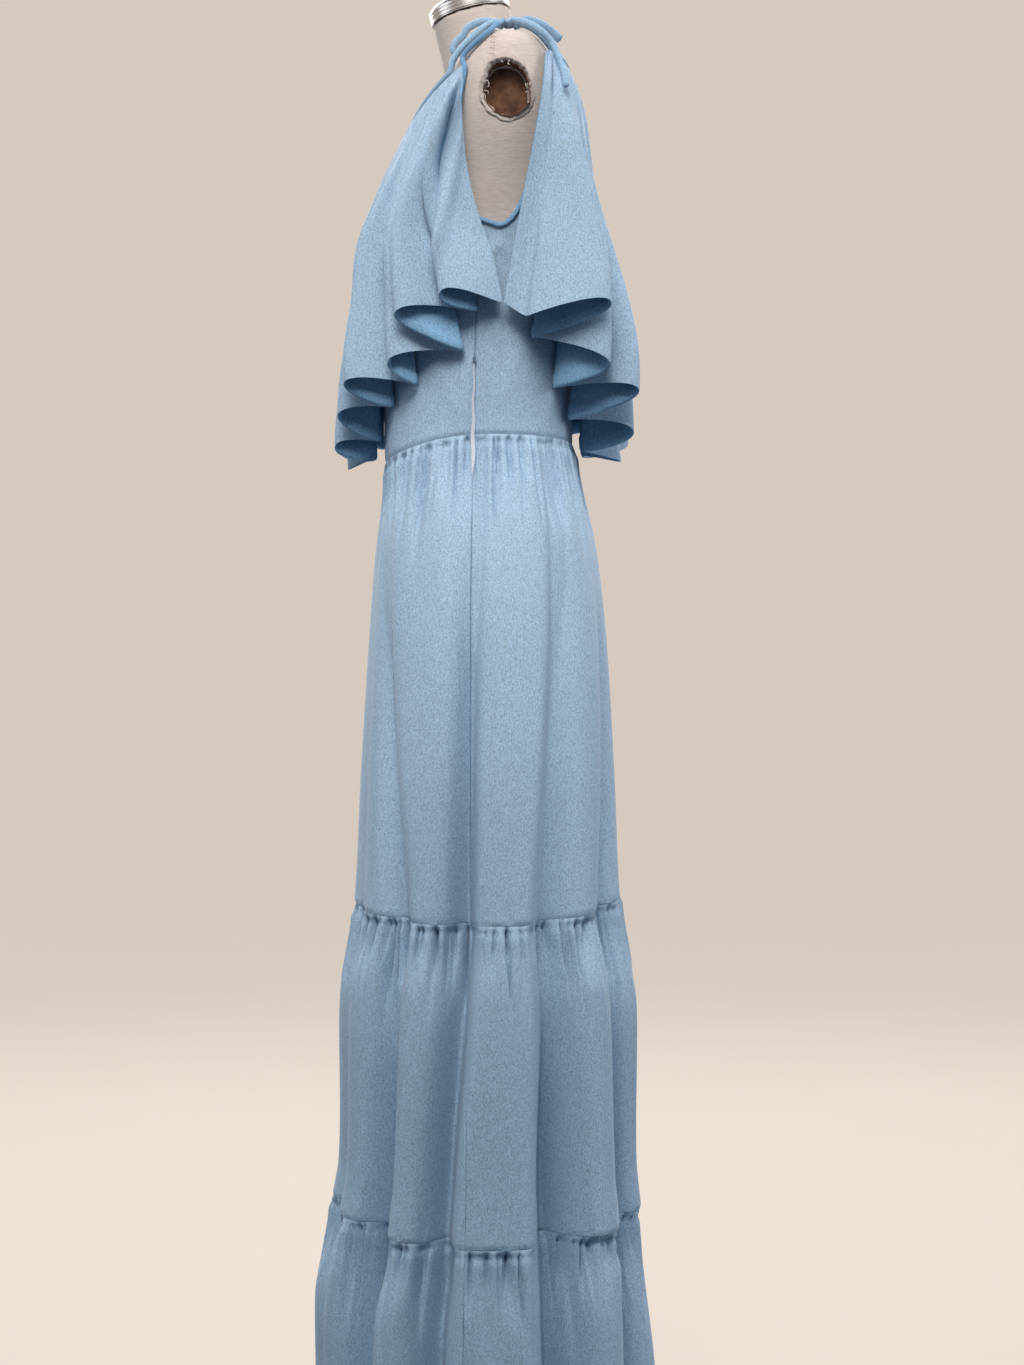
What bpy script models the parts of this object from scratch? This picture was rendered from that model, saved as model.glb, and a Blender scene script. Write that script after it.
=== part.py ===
"""A flutter maxi dress on a limbless dress form.

The dress has a fitted sleeveless bodice, a gathered flounce front and back that hangs
from the neckline, rolled ties knotted at each shoulder, a lapped zip in the left side
seam and a skirt of three gathered tiers. It hangs on a linen covered form on a pole.

Metres, +Z up. The origin is the centre of the stand's underside on the floor.
-Y is the front of the dress and +X is the wearer's left, the side with the zip.

A turn is an angle round the body in degrees: 0 at the left side, -90 at the centre
front, 90 at the centre back and 180 at the right side.
"""

import math

import bpy
from mathutils import Matrix, Vector

OBJECT_NAME = "flutter_maxi_dress"

# Driving dimensions
CLOTH = 0.0015
SEAM_GAP = 0.0003
HEM_Z = 0.020
SEAM_2_Z = 0.332
SEAM_1_Z = 0.626
WAIST_Z = 1.086
WAIST_DIP = 0.019
SIDE_SEAM_TURN = -4.0

SHARP_EDGE = 60.0
SEAM_SHARE = 0.80

BODY_SQUARENESS = 2.3
BODICE_EASE = 0.0045
FLOUNCE_EASE = 0.0085
SKIRT_CLEARANCE = 0.0060
HIP_REST_Z = 0.800

# The dress form's sections, bottom to top: half width at the sides, depth in front and
# behind, and how far behind the middle the sides lie
FORM_SECTIONS = [
    # z,    width, front, back, side
    (0.840, 0.150, 0.0940, 0.0980, 0.0000),
    (0.870, 0.157, 0.1010, 0.1060, 0.0000),
    (0.920, 0.155, 0.1030, 0.1080, 0.0000),
    (0.980, 0.146, 0.0990, 0.1030, 0.0000),
    (1.040, 0.127, 0.0940, 0.0900, 0.0000),
    (1.086, 0.118, 0.0955, 0.0830, 0.0000),
    (1.140, 0.121, 0.0960, 0.0840, 0.0010),
    (1.210, 0.126, 0.1000, 0.0890, 0.0040),
    (1.275, 0.133, 0.1130, 0.0940, 0.0070),
    (1.325, 0.143, 0.1010, 0.0970, 0.0100),
    (1.370, 0.155, 0.0790, 0.0960, 0.0140),
    (1.410, 0.162, 0.0580, 0.0900, 0.0180),
    (1.440, 0.159, 0.0420, 0.0800, 0.0195),
    (1.459, 0.150, 0.0270, 0.0710, 0.0200),
    (1.467, 0.134, 0.0200, 0.0640, 0.0190),
    (1.473, 0.108, 0.0180, 0.0580, 0.0160),
    (1.482, 0.078, 0.0185, 0.0500, 0.0100),
    (1.491, 0.056, 0.0190, 0.0430, 0.0060),
    (1.497, 0.042, 0.0160, 0.0360, 0.0040),
]
FORM_COLUMNS = 32

NECK_RADIUS = 0.0395
NECK_LEAN = 14.0
NECK_RIM = (0.0, -0.014, 1.515)
NECK_LENGTH = 0.090
NECK_CAP_HEIGHT = 0.022
NECK_CAP_LIP = 0.0008
# share of the cap's radius, drop below its top
NECK_CAP_ROUNDING = [(0.45, 0.001), (0.79, 0.005), (1.0, 0.011)]

ARM_HOLE_CENTRE = (0.140, 0.0225, 1.407)
ARM_HOLE_HALF = (0.0215, 0.0260)
ARM_PLATE_THICKNESS = 0.003
ARM_HOLE_DEPTH = 0.040

POLE_RADIUS = 0.0125
BASE_RADIUS = 0.140
BASE_HEIGHT = 0.012
BASE_EDGE = 0.002

# The outline of the skirt's folds, top to bottom
SKIRT_SECTIONS = [
    # z,    width, front, back, side
    (1.090, 0.1240, 0.0985, 0.0880, 0.0),
    (1.050, 0.1370, 0.1030, 0.0980, 0.0),
    (0.980, 0.1590, 0.1110, 0.1140, 0.0),
    (0.890, 0.1780, 0.1180, 0.1260, 0.0),
    (0.770, 0.1920, 0.1250, 0.1350, 0.0),
    (0.632, 0.1980, 0.1320, 0.1430, 0.0),
    (0.556, 0.2070, 0.1450, 0.1570, 0.0),
    (0.384, 0.2110, 0.1520, 0.1620, 0.0),
    (0.338, 0.2140, 0.1610, 0.1670, 0.0),
    (0.257, 0.2220, 0.1750, 0.1710, 0.0),
    (0.167, 0.2300, 0.1760, 0.1790, 0.0),
    (0.020, 0.2420, 0.1810, 0.1850, 0.0),
]
# The skirt's main valleys: their turn and depth at each seam, their half width, and how far
# they lean. One of negative depth is a broad swell. A positive lean is steep on its low side.
SKIRT_FOLDS = [
    # turn at waist, seam 1, seam 2, hem; depth at waist, seam 1, seam 2, hem; half width; lean
    (-60.0, -33.0, -36.5, -41.0, 0.006, 0.036, 0.062, 0.064, 6.5, -0.65),
    (-2.0, -4.5, -10.5, -13.5, 0.006, 0.040, 0.050, 0.052, 4.2, -0.60),
    (37.5, 20.5, 19.5, 20.0, 0.006, 0.036, 0.072, 0.072, 6.5, 0.65),
    (80.0, 55.0, 59.0, 53.0, 0.005, 0.034, 0.058, 0.056, 7.6, 0.30),
    (98.0, 80.0, 84.0, 84.0, 0.004, 0.012, 0.024, 0.030, 7.0, 0.4),
    (118.0, 106.0, 106.0, 105.0, 0.004, 0.014, 0.036, 0.038, 7.0, -0.4),
    (145.0, 140.0, 136.0, 136.0, 0.000, -0.016, -0.032, -0.030, 14.0, 0.0),
    (140.0, 132.0, 127.0, 127.0, 0.004, 0.010, 0.016, 0.018, 6.0, -0.4),
    (163.0, 165.0, 164.0, 163.0, 0.004, 0.022, 0.056, 0.056, 6.5, 0.5),
    (190.0, 192.0, 190.0, 189.0, 0.005, 0.024, 0.040, 0.044, 6.0, -0.5),
    (216.0, 219.0, 217.0, 218.0, 0.004, 0.014, 0.046, 0.046, 7.5, 0.5),
    (243.0, 245.0, 244.0, 242.0, 0.004, 0.014, 0.034, 0.038, 7.0, 0.5),
    (268.0, 268.0, 267.0, 266.0, 0.004, 0.012, 0.040, 0.042, 7.5, -0.4),
    (287.0, 293.0, 292.0, 293.0, 0.004, 0.012, 0.028, 0.030, 6.5, -0.4),
]
# How square to the body a valley is drawn in, how round its floor is, how fast it rises
# beside the floor and how soon its lean sets in
FOLD_DRAW = 0.45
FOLD_FLOOR = 0.6
FOLD_RISE = 1.5
FOLD_LEAN = 1.5
SEAMS = {
    # name: height at the left side, and how much higher it is in front, behind and on the right
    "seam_1": (SEAM_1_Z, 0.004, 0.010, 0.010),
    "seam_2": (SEAM_2_Z, 0.014, 0.004, 0.000),
    "hem": (HEM_Z, 0.0, 0.0, 0.0),
}
# Each tier: its gathers round the whole seam above, how deep they are and how far they run down
TIERS = [
    # name,   top,      bottom,   gathers, depth,  fade,  rows
    ("tier_1", "waist", "seam_1", 40, 0.0045, 0.110, (0.0, 0.045, 0.105, 0.19, 0.36, 0.66, 1.0)),
    ("tier_2", "seam_1", "seam_2", 48, 0.0050, 0.090, (0.0, 0.08, 0.20, 0.45, 0.78, 1.0)),
    ("tier_3", "seam_2", "hem", 46, 0.0055, 0.095, (0.0, 0.08, 0.20, 0.50, 1.0)),
]

# The bodice's columns from side seam to centre: the waist turn, and the top edge's turn and height
BODICE_FRONT_EDGE = [
    # waist, top, height, or None on the neckline
    (-4.0, -4.0, 1.2845),
    (-11.0, -9.0, 1.2960),
    (-18.0, -14.0, 1.3180),
    (-25.0, -19.0, 1.3520),
    (-32.0, -24.5, 1.3920),
    (-39.0, -28.5, None),
    (-48.0, -38.5, None),
    (-58.0, -50.0, None),
    (-69.0, -63.0, None),
    (-80.0, -77.0, None),
    (-90.0, -90.0, None),
]
BODICE_BACK_EDGE = [
    # waist, top, height, or None on the neckline
    (-4.0, -4.0, 1.2845),
    (4.0, 4.0, 1.2785),
    (12.0, 12.0, 1.2890),
    (20.0, 19.0, 1.3150),
    (28.0, 26.0, 1.3520),
    (36.0, 33.0, 1.3970),
    (44.0, 38.0, None),
    (55.0, 51.0, None),
    (66.0, 64.0, None),
    (78.0, 77.0, None),
    (90.0, 90.0, None),
]
BODICE_ROWS = (0.0, 0.13, 0.26, 0.39, 0.52, 0.65, 0.77, 0.86, 0.94, 1.0)

# The necklines: height at the centre, rise towards the shoulder, the turns of the flounce's
# corner, of the tie and of the join under the arm, and how early the flounce's edge turns out
NECK_FRONT = {"centre_z": 1.390, "rise": 0.049, "end": -27.5, "tie": -38.0, "join": 7.0, "centre": -90.0,
              "drift": 0.8}
NECK_BACK = {"centre_z": 1.444, "rise": 0.006, "end": 37.0, "tie": 45.0, "join": 8.0, "centre": 90.0,
             "drift": 0.5}

# The flounces' hem, from the join under the left arm to the centre: where each fold turns,
# how widely, and how steeply the hem rises there
FRONT_HEM_TURNS = [
    # x,      y,       z,     roundness, rise
    (0.1470, 0.0185, 1.207, 0.010, 0.000),
    (0.1660, -0.0410, 1.213, 0.022, -0.036),
    (0.1380, -0.0080, 1.200, 0.014, 0.008),
    (0.1540, -0.0820, 1.196, 0.026, -0.036),
    (0.1330, -0.0200, 1.163, 0.018, 0.008),
    (0.1260, -0.0900, 1.154, 0.026, -0.036),
    (0.1080, -0.0640, 1.134, 0.018, 0.008),
    (0.0930, -0.1340, 1.137, 0.026, -0.036),
    (0.0760, -0.0880, 1.116, 0.018, 0.008),
    (0.0560, -0.1430, 1.110, 0.026, -0.036),
    (0.0360, -0.1040, 1.087, 0.018, 0.008),
    (0.0250, -0.1490, 1.082, 0.020, -0.036),
    (0.0125, -0.1100, 1.074, 0.011, 0.008),
    (0.0000, -0.1360, 1.063, 0.014, 0.000),
]
BACK_HEM_TURNS = [
    # x,      y,       z,     roundness, rise
    (0.1470, 0.0195, 1.207, 0.010, 0.000),
    (0.1560, 0.0420, 1.193, 0.018, 0.000),
    (0.1520, 0.1200, 1.206, 0.026, -0.036),
    (0.1260, 0.0460, 1.177, 0.018, 0.008),
    (0.1280, 0.1190, 1.153, 0.026, -0.036),
    (0.0990, 0.0680, 1.132, 0.018, 0.008),
    (0.0960, 0.1490, 1.131, 0.026, -0.036),
    (0.0700, 0.0830, 1.105, 0.018, 0.008),
    (0.0540, 0.1460, 1.095, 0.026, -0.036),
    (0.0290, 0.0960, 1.078, 0.018, 0.008),
    (0.0000, 0.1360, 1.071, 0.028, 0.000),
]
# How much deeper or shallower each fold of the right half is than its twin on the left
RIGHT_FOLD_DEPTHS = (1.0, 0.90, 1.0, 1.06, 1.0, 0.92, 1.0, 1.05, 1.0, 0.94, 1.0, 0.90, 1.0, 1.0)
FLOUNCE_ROWS = (0.0, 0.14, 0.27, 0.39, 0.53, 0.72, 0.88, 1.0)
FLOUNCE_STEPS = 3
HEM_LEAD = 2.2

TIE_RADIUS = 0.0034
BINDING_RADIUS = 0.0025
KNOT_CENTRE = (0.0980, 0.0235, 1.4818)
KNOT_HALF = (0.0105, 0.0070, 0.0040)

ZIP_TOP_Z = 1.153
ZIP_BOTTOM_Z = 1.046
ZIP_WIDTH = 0.0042
ZIP_THICKNESS = 0.0010
ZIP_CLEARANCE = 0.0016
ZIP_SLIDER = (0.0022, 0.0034, 0.0042)


def smoothstep(share):
    share = min(max(share, 0.0), 1.0)
    return share * share * (3.0 - 2.0 * share)


def mix(first, second, share):
    return first + (second - first) * share


def table_value(rows, key, column):
    """A column of a table read at any key, on a smooth curve through its rows."""
    rows = sorted(rows, key=lambda row: row[0])
    if key <= rows[0][0]:
        return rows[0][column]
    if key >= rows[-1][0]:
        return rows[-1][column]
    index = max(i for i in range(len(rows) - 1) if rows[i][0] <= key)
    start, end = rows[index], rows[index + 1]
    span = end[0] - start[0]
    before = rows[index - 1] if index > 0 else start
    after = rows[index + 2] if index + 2 < len(rows) else end
    slope_start = (end[column] - before[column]) / (end[0] - before[0])
    slope_end = (after[column] - start[column]) / (after[0] - start[0])
    share = (key - start[0]) / span
    squared, cubed = share ** 2, share ** 3
    return ((2 * cubed - 3 * squared + 1) * start[column] + (cubed - 2 * squared + share) * span * slope_start
            + (3 * squared - 2 * cubed) * end[column] + (cubed - squared) * span * slope_end)


def ring_point(sections, turn, z, ease=0.0):
    """A point on a rounded section of the body, moved out by the ease."""
    width, front, back, side = (table_value(sections, z, column) for column in (1, 2, 3, 4))
    angle = math.radians(turn)
    power = 2.0 / BODY_SQUARENESS
    depth = (back - side if math.sin(angle) > 0 else front + side) + ease
    x = math.copysign(abs(math.cos(angle)) ** power, math.cos(angle)) * (width + ease)
    y = side + math.copysign(abs(math.sin(angle)) ** power, math.sin(angle)) * depth
    return Vector((x, y, z))


def clear_of_form(point, ease):
    """The point, moved out if it lies nearer the form than the ease."""
    width, front, back, side = (table_value(FORM_SECTIONS, point.z, column) for column in (1, 2, 3, 4))
    across, deep = point.x / (width + ease), point.y - side
    deep /= (back - side if deep > 0 else front + side) + ease
    reach = abs(across) ** BODY_SQUARENESS + abs(deep) ** BODY_SQUARENESS
    if reach >= 1.0:
        return point
    scale = reach ** (-1.0 / BODY_SQUARENESS)
    return Vector((point.x * scale, side + (point.y - side) * scale, point.z))


def waist_z(turn):
    return WAIST_Z - WAIST_DIP * max(0.0, -math.sin(math.radians(turn))) ** 1.5


def neckline_z(neckline, turn):
    return neckline["centre_z"] + neckline["rise"] * math.cos(math.radians(turn)) ** 2


def material(name, colour, roughness, metallic=0.0):
    made = bpy.data.materials.new(name)
    made.use_nodes = True
    shader = made.node_tree.nodes["Principled BSDF"]
    shader.inputs["Base Color"].default_value = (*colour, 1.0)
    shader.inputs["Roughness"].default_value = roughness
    shader.inputs["Metallic"].default_value = metallic
    made.diffuse_color = (*colour, 1.0)
    return made


def crepe(name, shade=1.0):
    return material(name, (0.36 * shade, 0.55 * shade, 0.72 * shade), 0.85)


def new_object(name, mesh, surface, collection):
    made = bpy.data.objects.new(name, mesh)
    mesh.materials.append(surface)
    collection.objects.link(made)
    return made


def mesh_from(name, points, faces):
    mesh = bpy.data.meshes.new(name)
    mesh.from_pydata(points, [], faces)
    mesh.update()
    mesh.shade_smooth()
    mesh.set_sharp_from_angle(angle=math.radians(SHARP_EDGE))
    return mesh


def grid_normal(grid, row, column, level):
    """The outward direction at a grid point whose columns run clockwise seen from above."""
    last_row, last_column = len(grid) - 1, len(grid[0]) - 1
    point = grid[row][column]
    along = (grid[row][min(column + 1, last_column)] - point).normalized()
    along += (point - grid[row][max(column - 1, 0)]).normalized()
    down = (grid[min(row + 1, last_row)][column] - point).normalized()
    down += (point - grid[max(row - 1, 0)][column]).normalized()
    normal = along.cross(down)
    if level:
        normal.z = 0.0
    return normal.normalized()


def cloth_wall(name, grid, surface, collection, level_rims=False, sewn_sides=False, thickness=CLOTH):
    """A closed wall whose outer face runs through the grid's points, rows from top to bottom.

    With sewn sides the grid's first and last columns belong to the neighbouring pieces: they
    only turn the wall's side edges, which are drawn back by the seam gap.
    """
    rows, first, last = len(grid), 0, len(grid[0]) - 1
    if sewn_sides:
        first, last = first + 1, last - 1
    outer, inner = [], []
    for row in range(rows):
        level = level_rims and row in (0, rows - 1)
        for column in range(first, last + 1):
            point = grid[row][column]
            if sewn_sides and column in (first, last):
                neighbour = grid[row][column + 1 if column == first else column - 1]
                point = point + (neighbour - point).normalized() * SEAM_GAP * SEAM_SHARE
            outer.append(point)
            inner.append(point - grid_normal(grid, row, column, level) * thickness)
    columns = last - first + 1
    offset = rows * columns
    faces = []
    for row in range(rows - 1):
        for column in range(columns - 1):
            a, b = row * columns + column, row * columns + column + 1
            c, d = b + columns, a + columns
            if (outer[a] - outer[c]).length <= (outer[b] - outer[d]).length:
                corners = ((a, b, c), (a, c, d))
            else:
                corners = ((a, b, d), (b, c, d))
            faces += corners
            faces += [tuple(offset + index for index in reversed(corner)) for corner in corners]
    border = [(0, column) for column in range(columns)]
    border += [(row, columns - 1) for row in range(1, rows)]
    border += [(rows - 1, column) for column in range(columns - 2, -1, -1)]
    border += [(row, 0) for row in range(rows - 2, 0, -1)]
    loop = [row * columns + column for row, column in border]
    for start, end in zip(loop, loop[1:] + loop[:1]):
        faces.append((end, start, offset + start))
        faces.append((end, offset + start, offset + end))
    return new_object(name, mesh_from(name, outer + inner, faces), surface, collection)


def loft(name, rings, surface, collection):
    """A closed solid through rings of equal count, from bottom to top, with flat ends."""
    count = len(rings[0])
    points = [point for ring in rings for point in ring]
    faces = [tuple(range(count - 1, -1, -1))]
    for level in range(len(rings) - 1):
        for index in range(count):
            a, b = level * count + index, level * count + (index + 1) % count
            faces.append((a, b, b + count, a + count))
    faces.append(tuple(range((len(rings) - 1) * count, len(rings) * count)))
    return new_object(name, mesh_from(name, points, faces), surface, collection)


def smooth_path(points, steps):
    """Points on a smooth curve through the given ones."""
    points = [Vector(point) for point in points]
    path = []
    for index in range(len(points) - 1):
        start, end = points[index], points[index + 1]
        before = points[index - 1] if index > 0 else start
        after = points[index + 2] if index + 2 < len(points) else end
        for step in range(steps):
            share = step / steps
            squared, cubed = share ** 2, share ** 3
            path.append(0.5 * (2 * start + (end - before) * share
                               + (2 * before - 5 * start + 4 * end - after) * squared
                               + (3 * start - before - 3 * end + after) * cubed))
    path.append(points[-1])
    return path


def tube(name, points, radius, surface, collection):
    """A rolled tube of cloth along the points, closed at both ends."""
    curve = bpy.data.curves.new(name, "CURVE")
    curve.dimensions = "3D"
    curve.bevel_depth = radius
    curve.bevel_resolution = 1
    curve.use_fill_caps = True
    spline = curve.splines.new("POLY")
    spline.points.add(len(points) - 1)
    for knot, point in zip(spline.points, points):
        knot.co = (*point, 1.0)
    curve.materials.append(surface)
    made = bpy.data.objects.new(name, curve)
    collection.objects.link(made)
    return made


def fold_value(fold, first_column, z, turn):
    """A fold's turn or depth at a height, read between the waist, the two seams and the hem."""
    heights = (waist_z(turn), SEAM_1_Z, SEAM_2_Z, HEM_Z)
    for index in range(3):
        if z >= heights[index + 1] or index == 2:
            share = (heights[index] - z) / (heights[index] - heights[index + 1])
            share = min(max(share, 0.0), 1.0)
            if index > 0:
                share = smoothstep(share)
            return mix(fold[first_column + index], fold[first_column + index + 1], share)


def turn_difference(first, second):
    return (first - second + 180.0) % 360.0 - 180.0


def skirt_point(turn, z):
    """A point of the skirt's outer face with its main folds, before the gathers."""
    point = ring_point(SKIRT_SECTIONS, turn, z)
    depth = 0.0
    for fold in SKIRT_FOLDS:
        away = turn_difference(turn, fold_value(fold, 0, z, turn)) / fold[8]
        distance = abs(away) / (1.0 + fold[9] * math.tanh(away * FOLD_LEAN))
        rise = (math.hypot(distance, FOLD_FLOOR) - FOLD_FLOOR) * FOLD_RISE
        depth += fold_value(fold, 4, z, turn) * math.exp(-rise)
    inward = Vector((point.x, point.y * FOLD_DRAW, 0.0)).normalized()
    return point - inward * depth


def seam_height(name, turn):
    """The height of a seam: the waist dips in front, and the others are a little uneven."""
    if name == "waist":
        return waist_z(turn)
    height, front, back, right = SEAMS[name]
    angle = math.radians(turn)
    deep = math.sin(angle)
    return height + (back if deep > 0 else front) * deep ** 2 + right * (1.0 - math.cos(angle)) / 2


def even_turns(z, count):
    """Turns that part the skirt at a height into equal lengths, from the right seam to the left."""
    samples = 720
    start, end = 180.0 - SIDE_SEAM_TURN, SIDE_SEAM_TURN
    halves = []
    for first, last in ((start, end), (end, start - 360.0)):
        turns = [mix(first, last, index / samples) for index in range(samples + 1)]
        points = [ring_point(SKIRT_SECTIONS, turn, z) for turn in turns]
        lengths = [0.0]
        for before, after in zip(points, points[1:]):
            lengths.append(lengths[-1] + (after - before).length)
        wanted = [lengths[-1] * index / (count // 2) for index in range(count // 2 + 1)]
        half, cursor = [], 0
        for length in wanted:
            while cursor < samples and lengths[cursor + 1] < length:
                cursor += 1
            half.append(turns[min(cursor, samples)] if length else first)
        half[-1] = last
        halves.append(half)
    return halves


def tier_line(tier, turn, column, seam_columns):
    """One column of a tier from top to bottom, with its main folds and its gathers."""
    name, top, bottom, gathers, depth, fade, rows = tier
    top_z = seam_height(top, turn) - SEAM_GAP * SEAM_SHARE
    bottom_z = seam_height(bottom, turn) + (0.0 if bottom == "hem" else SEAM_GAP * SEAM_SHARE)
    from_seam = min(column % seam_columns, -column % seam_columns)
    uneven = 0.7 + 0.3 * math.sin(column * 2.4 + gathers)
    swing = depth * uneven * min(from_seam / 2.0, 1.0) * (column % 2)
    line = []
    for share in rows:
        z = mix(top_z, bottom_z, share)
        point = skirt_point(turn, z)
        if z > HIP_REST_Z:
            point = clear_of_form(point, SKIRT_CLEARANCE)
        outward = Vector((point.x, point.y, 0.0)).normalized()
        line.append(point + outward * swing * max(0.0, 1.0 - (top_z - z) / fade) ** 1.5)
    return line


def build_skirt(collection):
    shades = {"tier_1": 1.0, "tier_2": 0.94, "tier_3": 0.88}
    for tier in TIERS:
        name, top, bottom, gathers = tier[:4]
        middle = 0.5 * (seam_height(top, 0.0) + seam_height(bottom, 0.0))
        back_turns, front_turns = even_turns(middle, gathers * 2)
        lines = [tier_line(tier, turn, column, gathers)
                 for column, turn in enumerate(back_turns[:-1] + front_turns[:-1])]
        for word, first in (("_back", 0), ("_front", gathers)):
            columns = [lines[(first + index) % len(lines)] for index in range(-1, gathers + 2)]
            cloth_wall(name + word, [list(row) for row in zip(*columns)], crepe(name + word, shades[name]),
                       collection, True, True)


def bodice_lines(edge, neckline, ease):
    """The bodice's columns from the left side seam to the right one, each from top to bottom."""
    half = []
    for waist_turn, top_turn, top_z in edge:
        if top_z is None:
            top_z = neckline_z(neckline, top_turn) - TIE_RADIUS * 0.2
        half.append((waist_turn, top_turn, top_z))
    across = math.copysign(180.0, neckline["centre"])
    other_half = [(across - waist, across - top, z) for waist, top, z in reversed(half[:-1])]
    lines = []
    for waist_turn, top_turn, top_z in half + other_half:
        low_z = waist_z(waist_turn) + SEAM_GAP / 2
        line = []
        for share in reversed(BODICE_ROWS):
            turn, z = mix(waist_turn, top_turn, share), mix(low_z, top_z, share)
            line.append(ring_point(FORM_SECTIONS, turn, z, ease))
        lines.append(line)
    return lines


def build_bodice(collection):
    front = bodice_lines(BODICE_FRONT_EDGE, NECK_FRONT, BODICE_EASE)
    back = list(reversed(bodice_lines(BODICE_BACK_EDGE, NECK_BACK, BODICE_EASE)))
    for name, lines, other in (("bodice_front", front, back), ("bodice_back", back, front)):
        columns = [other[-2]] + lines + [other[1]]
        cloth_wall(name, [list(row) for row in zip(*columns)], crepe(name, 0.9), collection, True, True)


def hem_turns(turns):
    """The hem's turning points right across, the right half being the left one with uneven depths."""
    mirrored = []
    for index in range(len(turns) - 2, -1, -1):
        x, y, z, roundness, rise = turns[index]
        depth = RIGHT_FOLD_DEPTHS[index]
        if index > 0 and depth != 1.0:
            inner_x, inner_y = turns[index + 1][0], turns[index + 1][1]
            x, y = mix(inner_x, x, depth), mix(inner_y, y, depth)
        mirrored.append((-x, y, z, roundness, -rise))
    return list(turns) + mirrored


def hem_path(turns, steps):
    """The wavy hem as points on a curve that turns round each fold, with each point's share along it."""
    places = [Vector(turn[:3]) for turn in turns]
    leads = []
    for index, place in enumerate(places):
        before = places[max(index - 1, 0)]
        after = places[min(index + 1, len(places) - 1)]
        if index in (0, len(places) - 1):
            leads.append((after - before) * 0.5)
            continue
        fold = place - (before + after) / 2
        lateral = Vector((-fold.y, fold.x, 0.0)).normalized()
        if lateral.dot(after - before) < 0:
            lateral.negate()
        leads.append(lateral * turns[index][3] * HEM_LEAD + Vector((0.0, 0.0, turns[index][4])))
    path = []
    for index in range(len(places) - 1):
        start, end = places[index], places[index + 1]
        for step in range(steps + (index == len(places) - 2)):
            share = step / steps
            squared, cubed = share ** 2, share ** 3
            point = ((2 * cubed - 3 * squared + 1) * start + (cubed - 2 * squared + share) * leads[index]
                     + (3 * squared - 2 * cubed) * end + (cubed - squared) * leads[index + 1])
            path.append((point, (index + share) / (len(places) - 1)))
    return path


def flounce_point(neckline, hem, along, down):
    """A point of a flounce: on the body at the neckline, swinging out to the hem's folds."""
    centre = neckline["centre"]
    half_share = 1.0 - abs(along * 2.0 - 1.0)
    top_turn = mix(neckline["end"], centre, half_share)
    hem_turn = mix(neckline["join"], centre, half_share)
    turn = mix(top_turn, hem_turn, down ** neckline["drift"])
    if along > 0.5:
        turn = math.copysign(180.0, centre) - turn
        top_turn, hem_turn = (math.copysign(180.0, centre) - each for each in (top_turn, hem_turn))
    top_z = neckline_z(neckline, top_turn) - TIE_RADIUS * 0.2
    base = ring_point(FORM_SECTIONS, turn, mix(top_z, hem.z, down), FLOUNCE_EASE)
    swing = hem - ring_point(FORM_SECTIONS, hem_turn, hem.z, FLOUNCE_EASE)
    start = mix(0.0, 0.15, smoothstep(half_share * 1.5))
    level = (down - start) / (1.0 - start)
    rounded = smoothstep(level)
    share = mix(max(level, 0.0) ** 0.9, rounded, smoothstep(half_share * 2.0))
    return clear_of_form(base + swing * share, FLOUNCE_EASE)


def build_flounces(collection):
    for name, turns, neckline in (("flounce_front", FRONT_HEM_TURNS, NECK_FRONT),
                                  ("flounce_back", BACK_HEM_TURNS, NECK_BACK)):
        path = hem_path(hem_turns(turns), FLOUNCE_STEPS)
        grid = [[flounce_point(neckline, hem, along, down) for hem, along in path] for down in FLOUNCE_ROWS]
        if neckline is NECK_BACK:
            grid = [list(reversed(line)) for line in grid]
        cloth_wall(name, grid, crepe(name, 1.05), collection)


def oval_plug(name, side, half, inner, outer, surface, collection):
    """An oval plug along X at an arm hole, from the inner to the outer reach."""
    centre = Vector(ARM_HOLE_CENTRE)
    rings = []
    for x in (inner, outer):
        ring = []
        for index in range(24):
            angle = math.tau * index / 24 * side
            ring.append(Vector((x * side, centre.y + math.cos(angle) * half[0],
                                centre.z + math.sin(angle) * half[1])))
        rings.append(ring)
    return loft(name, rings, surface, collection)


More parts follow.
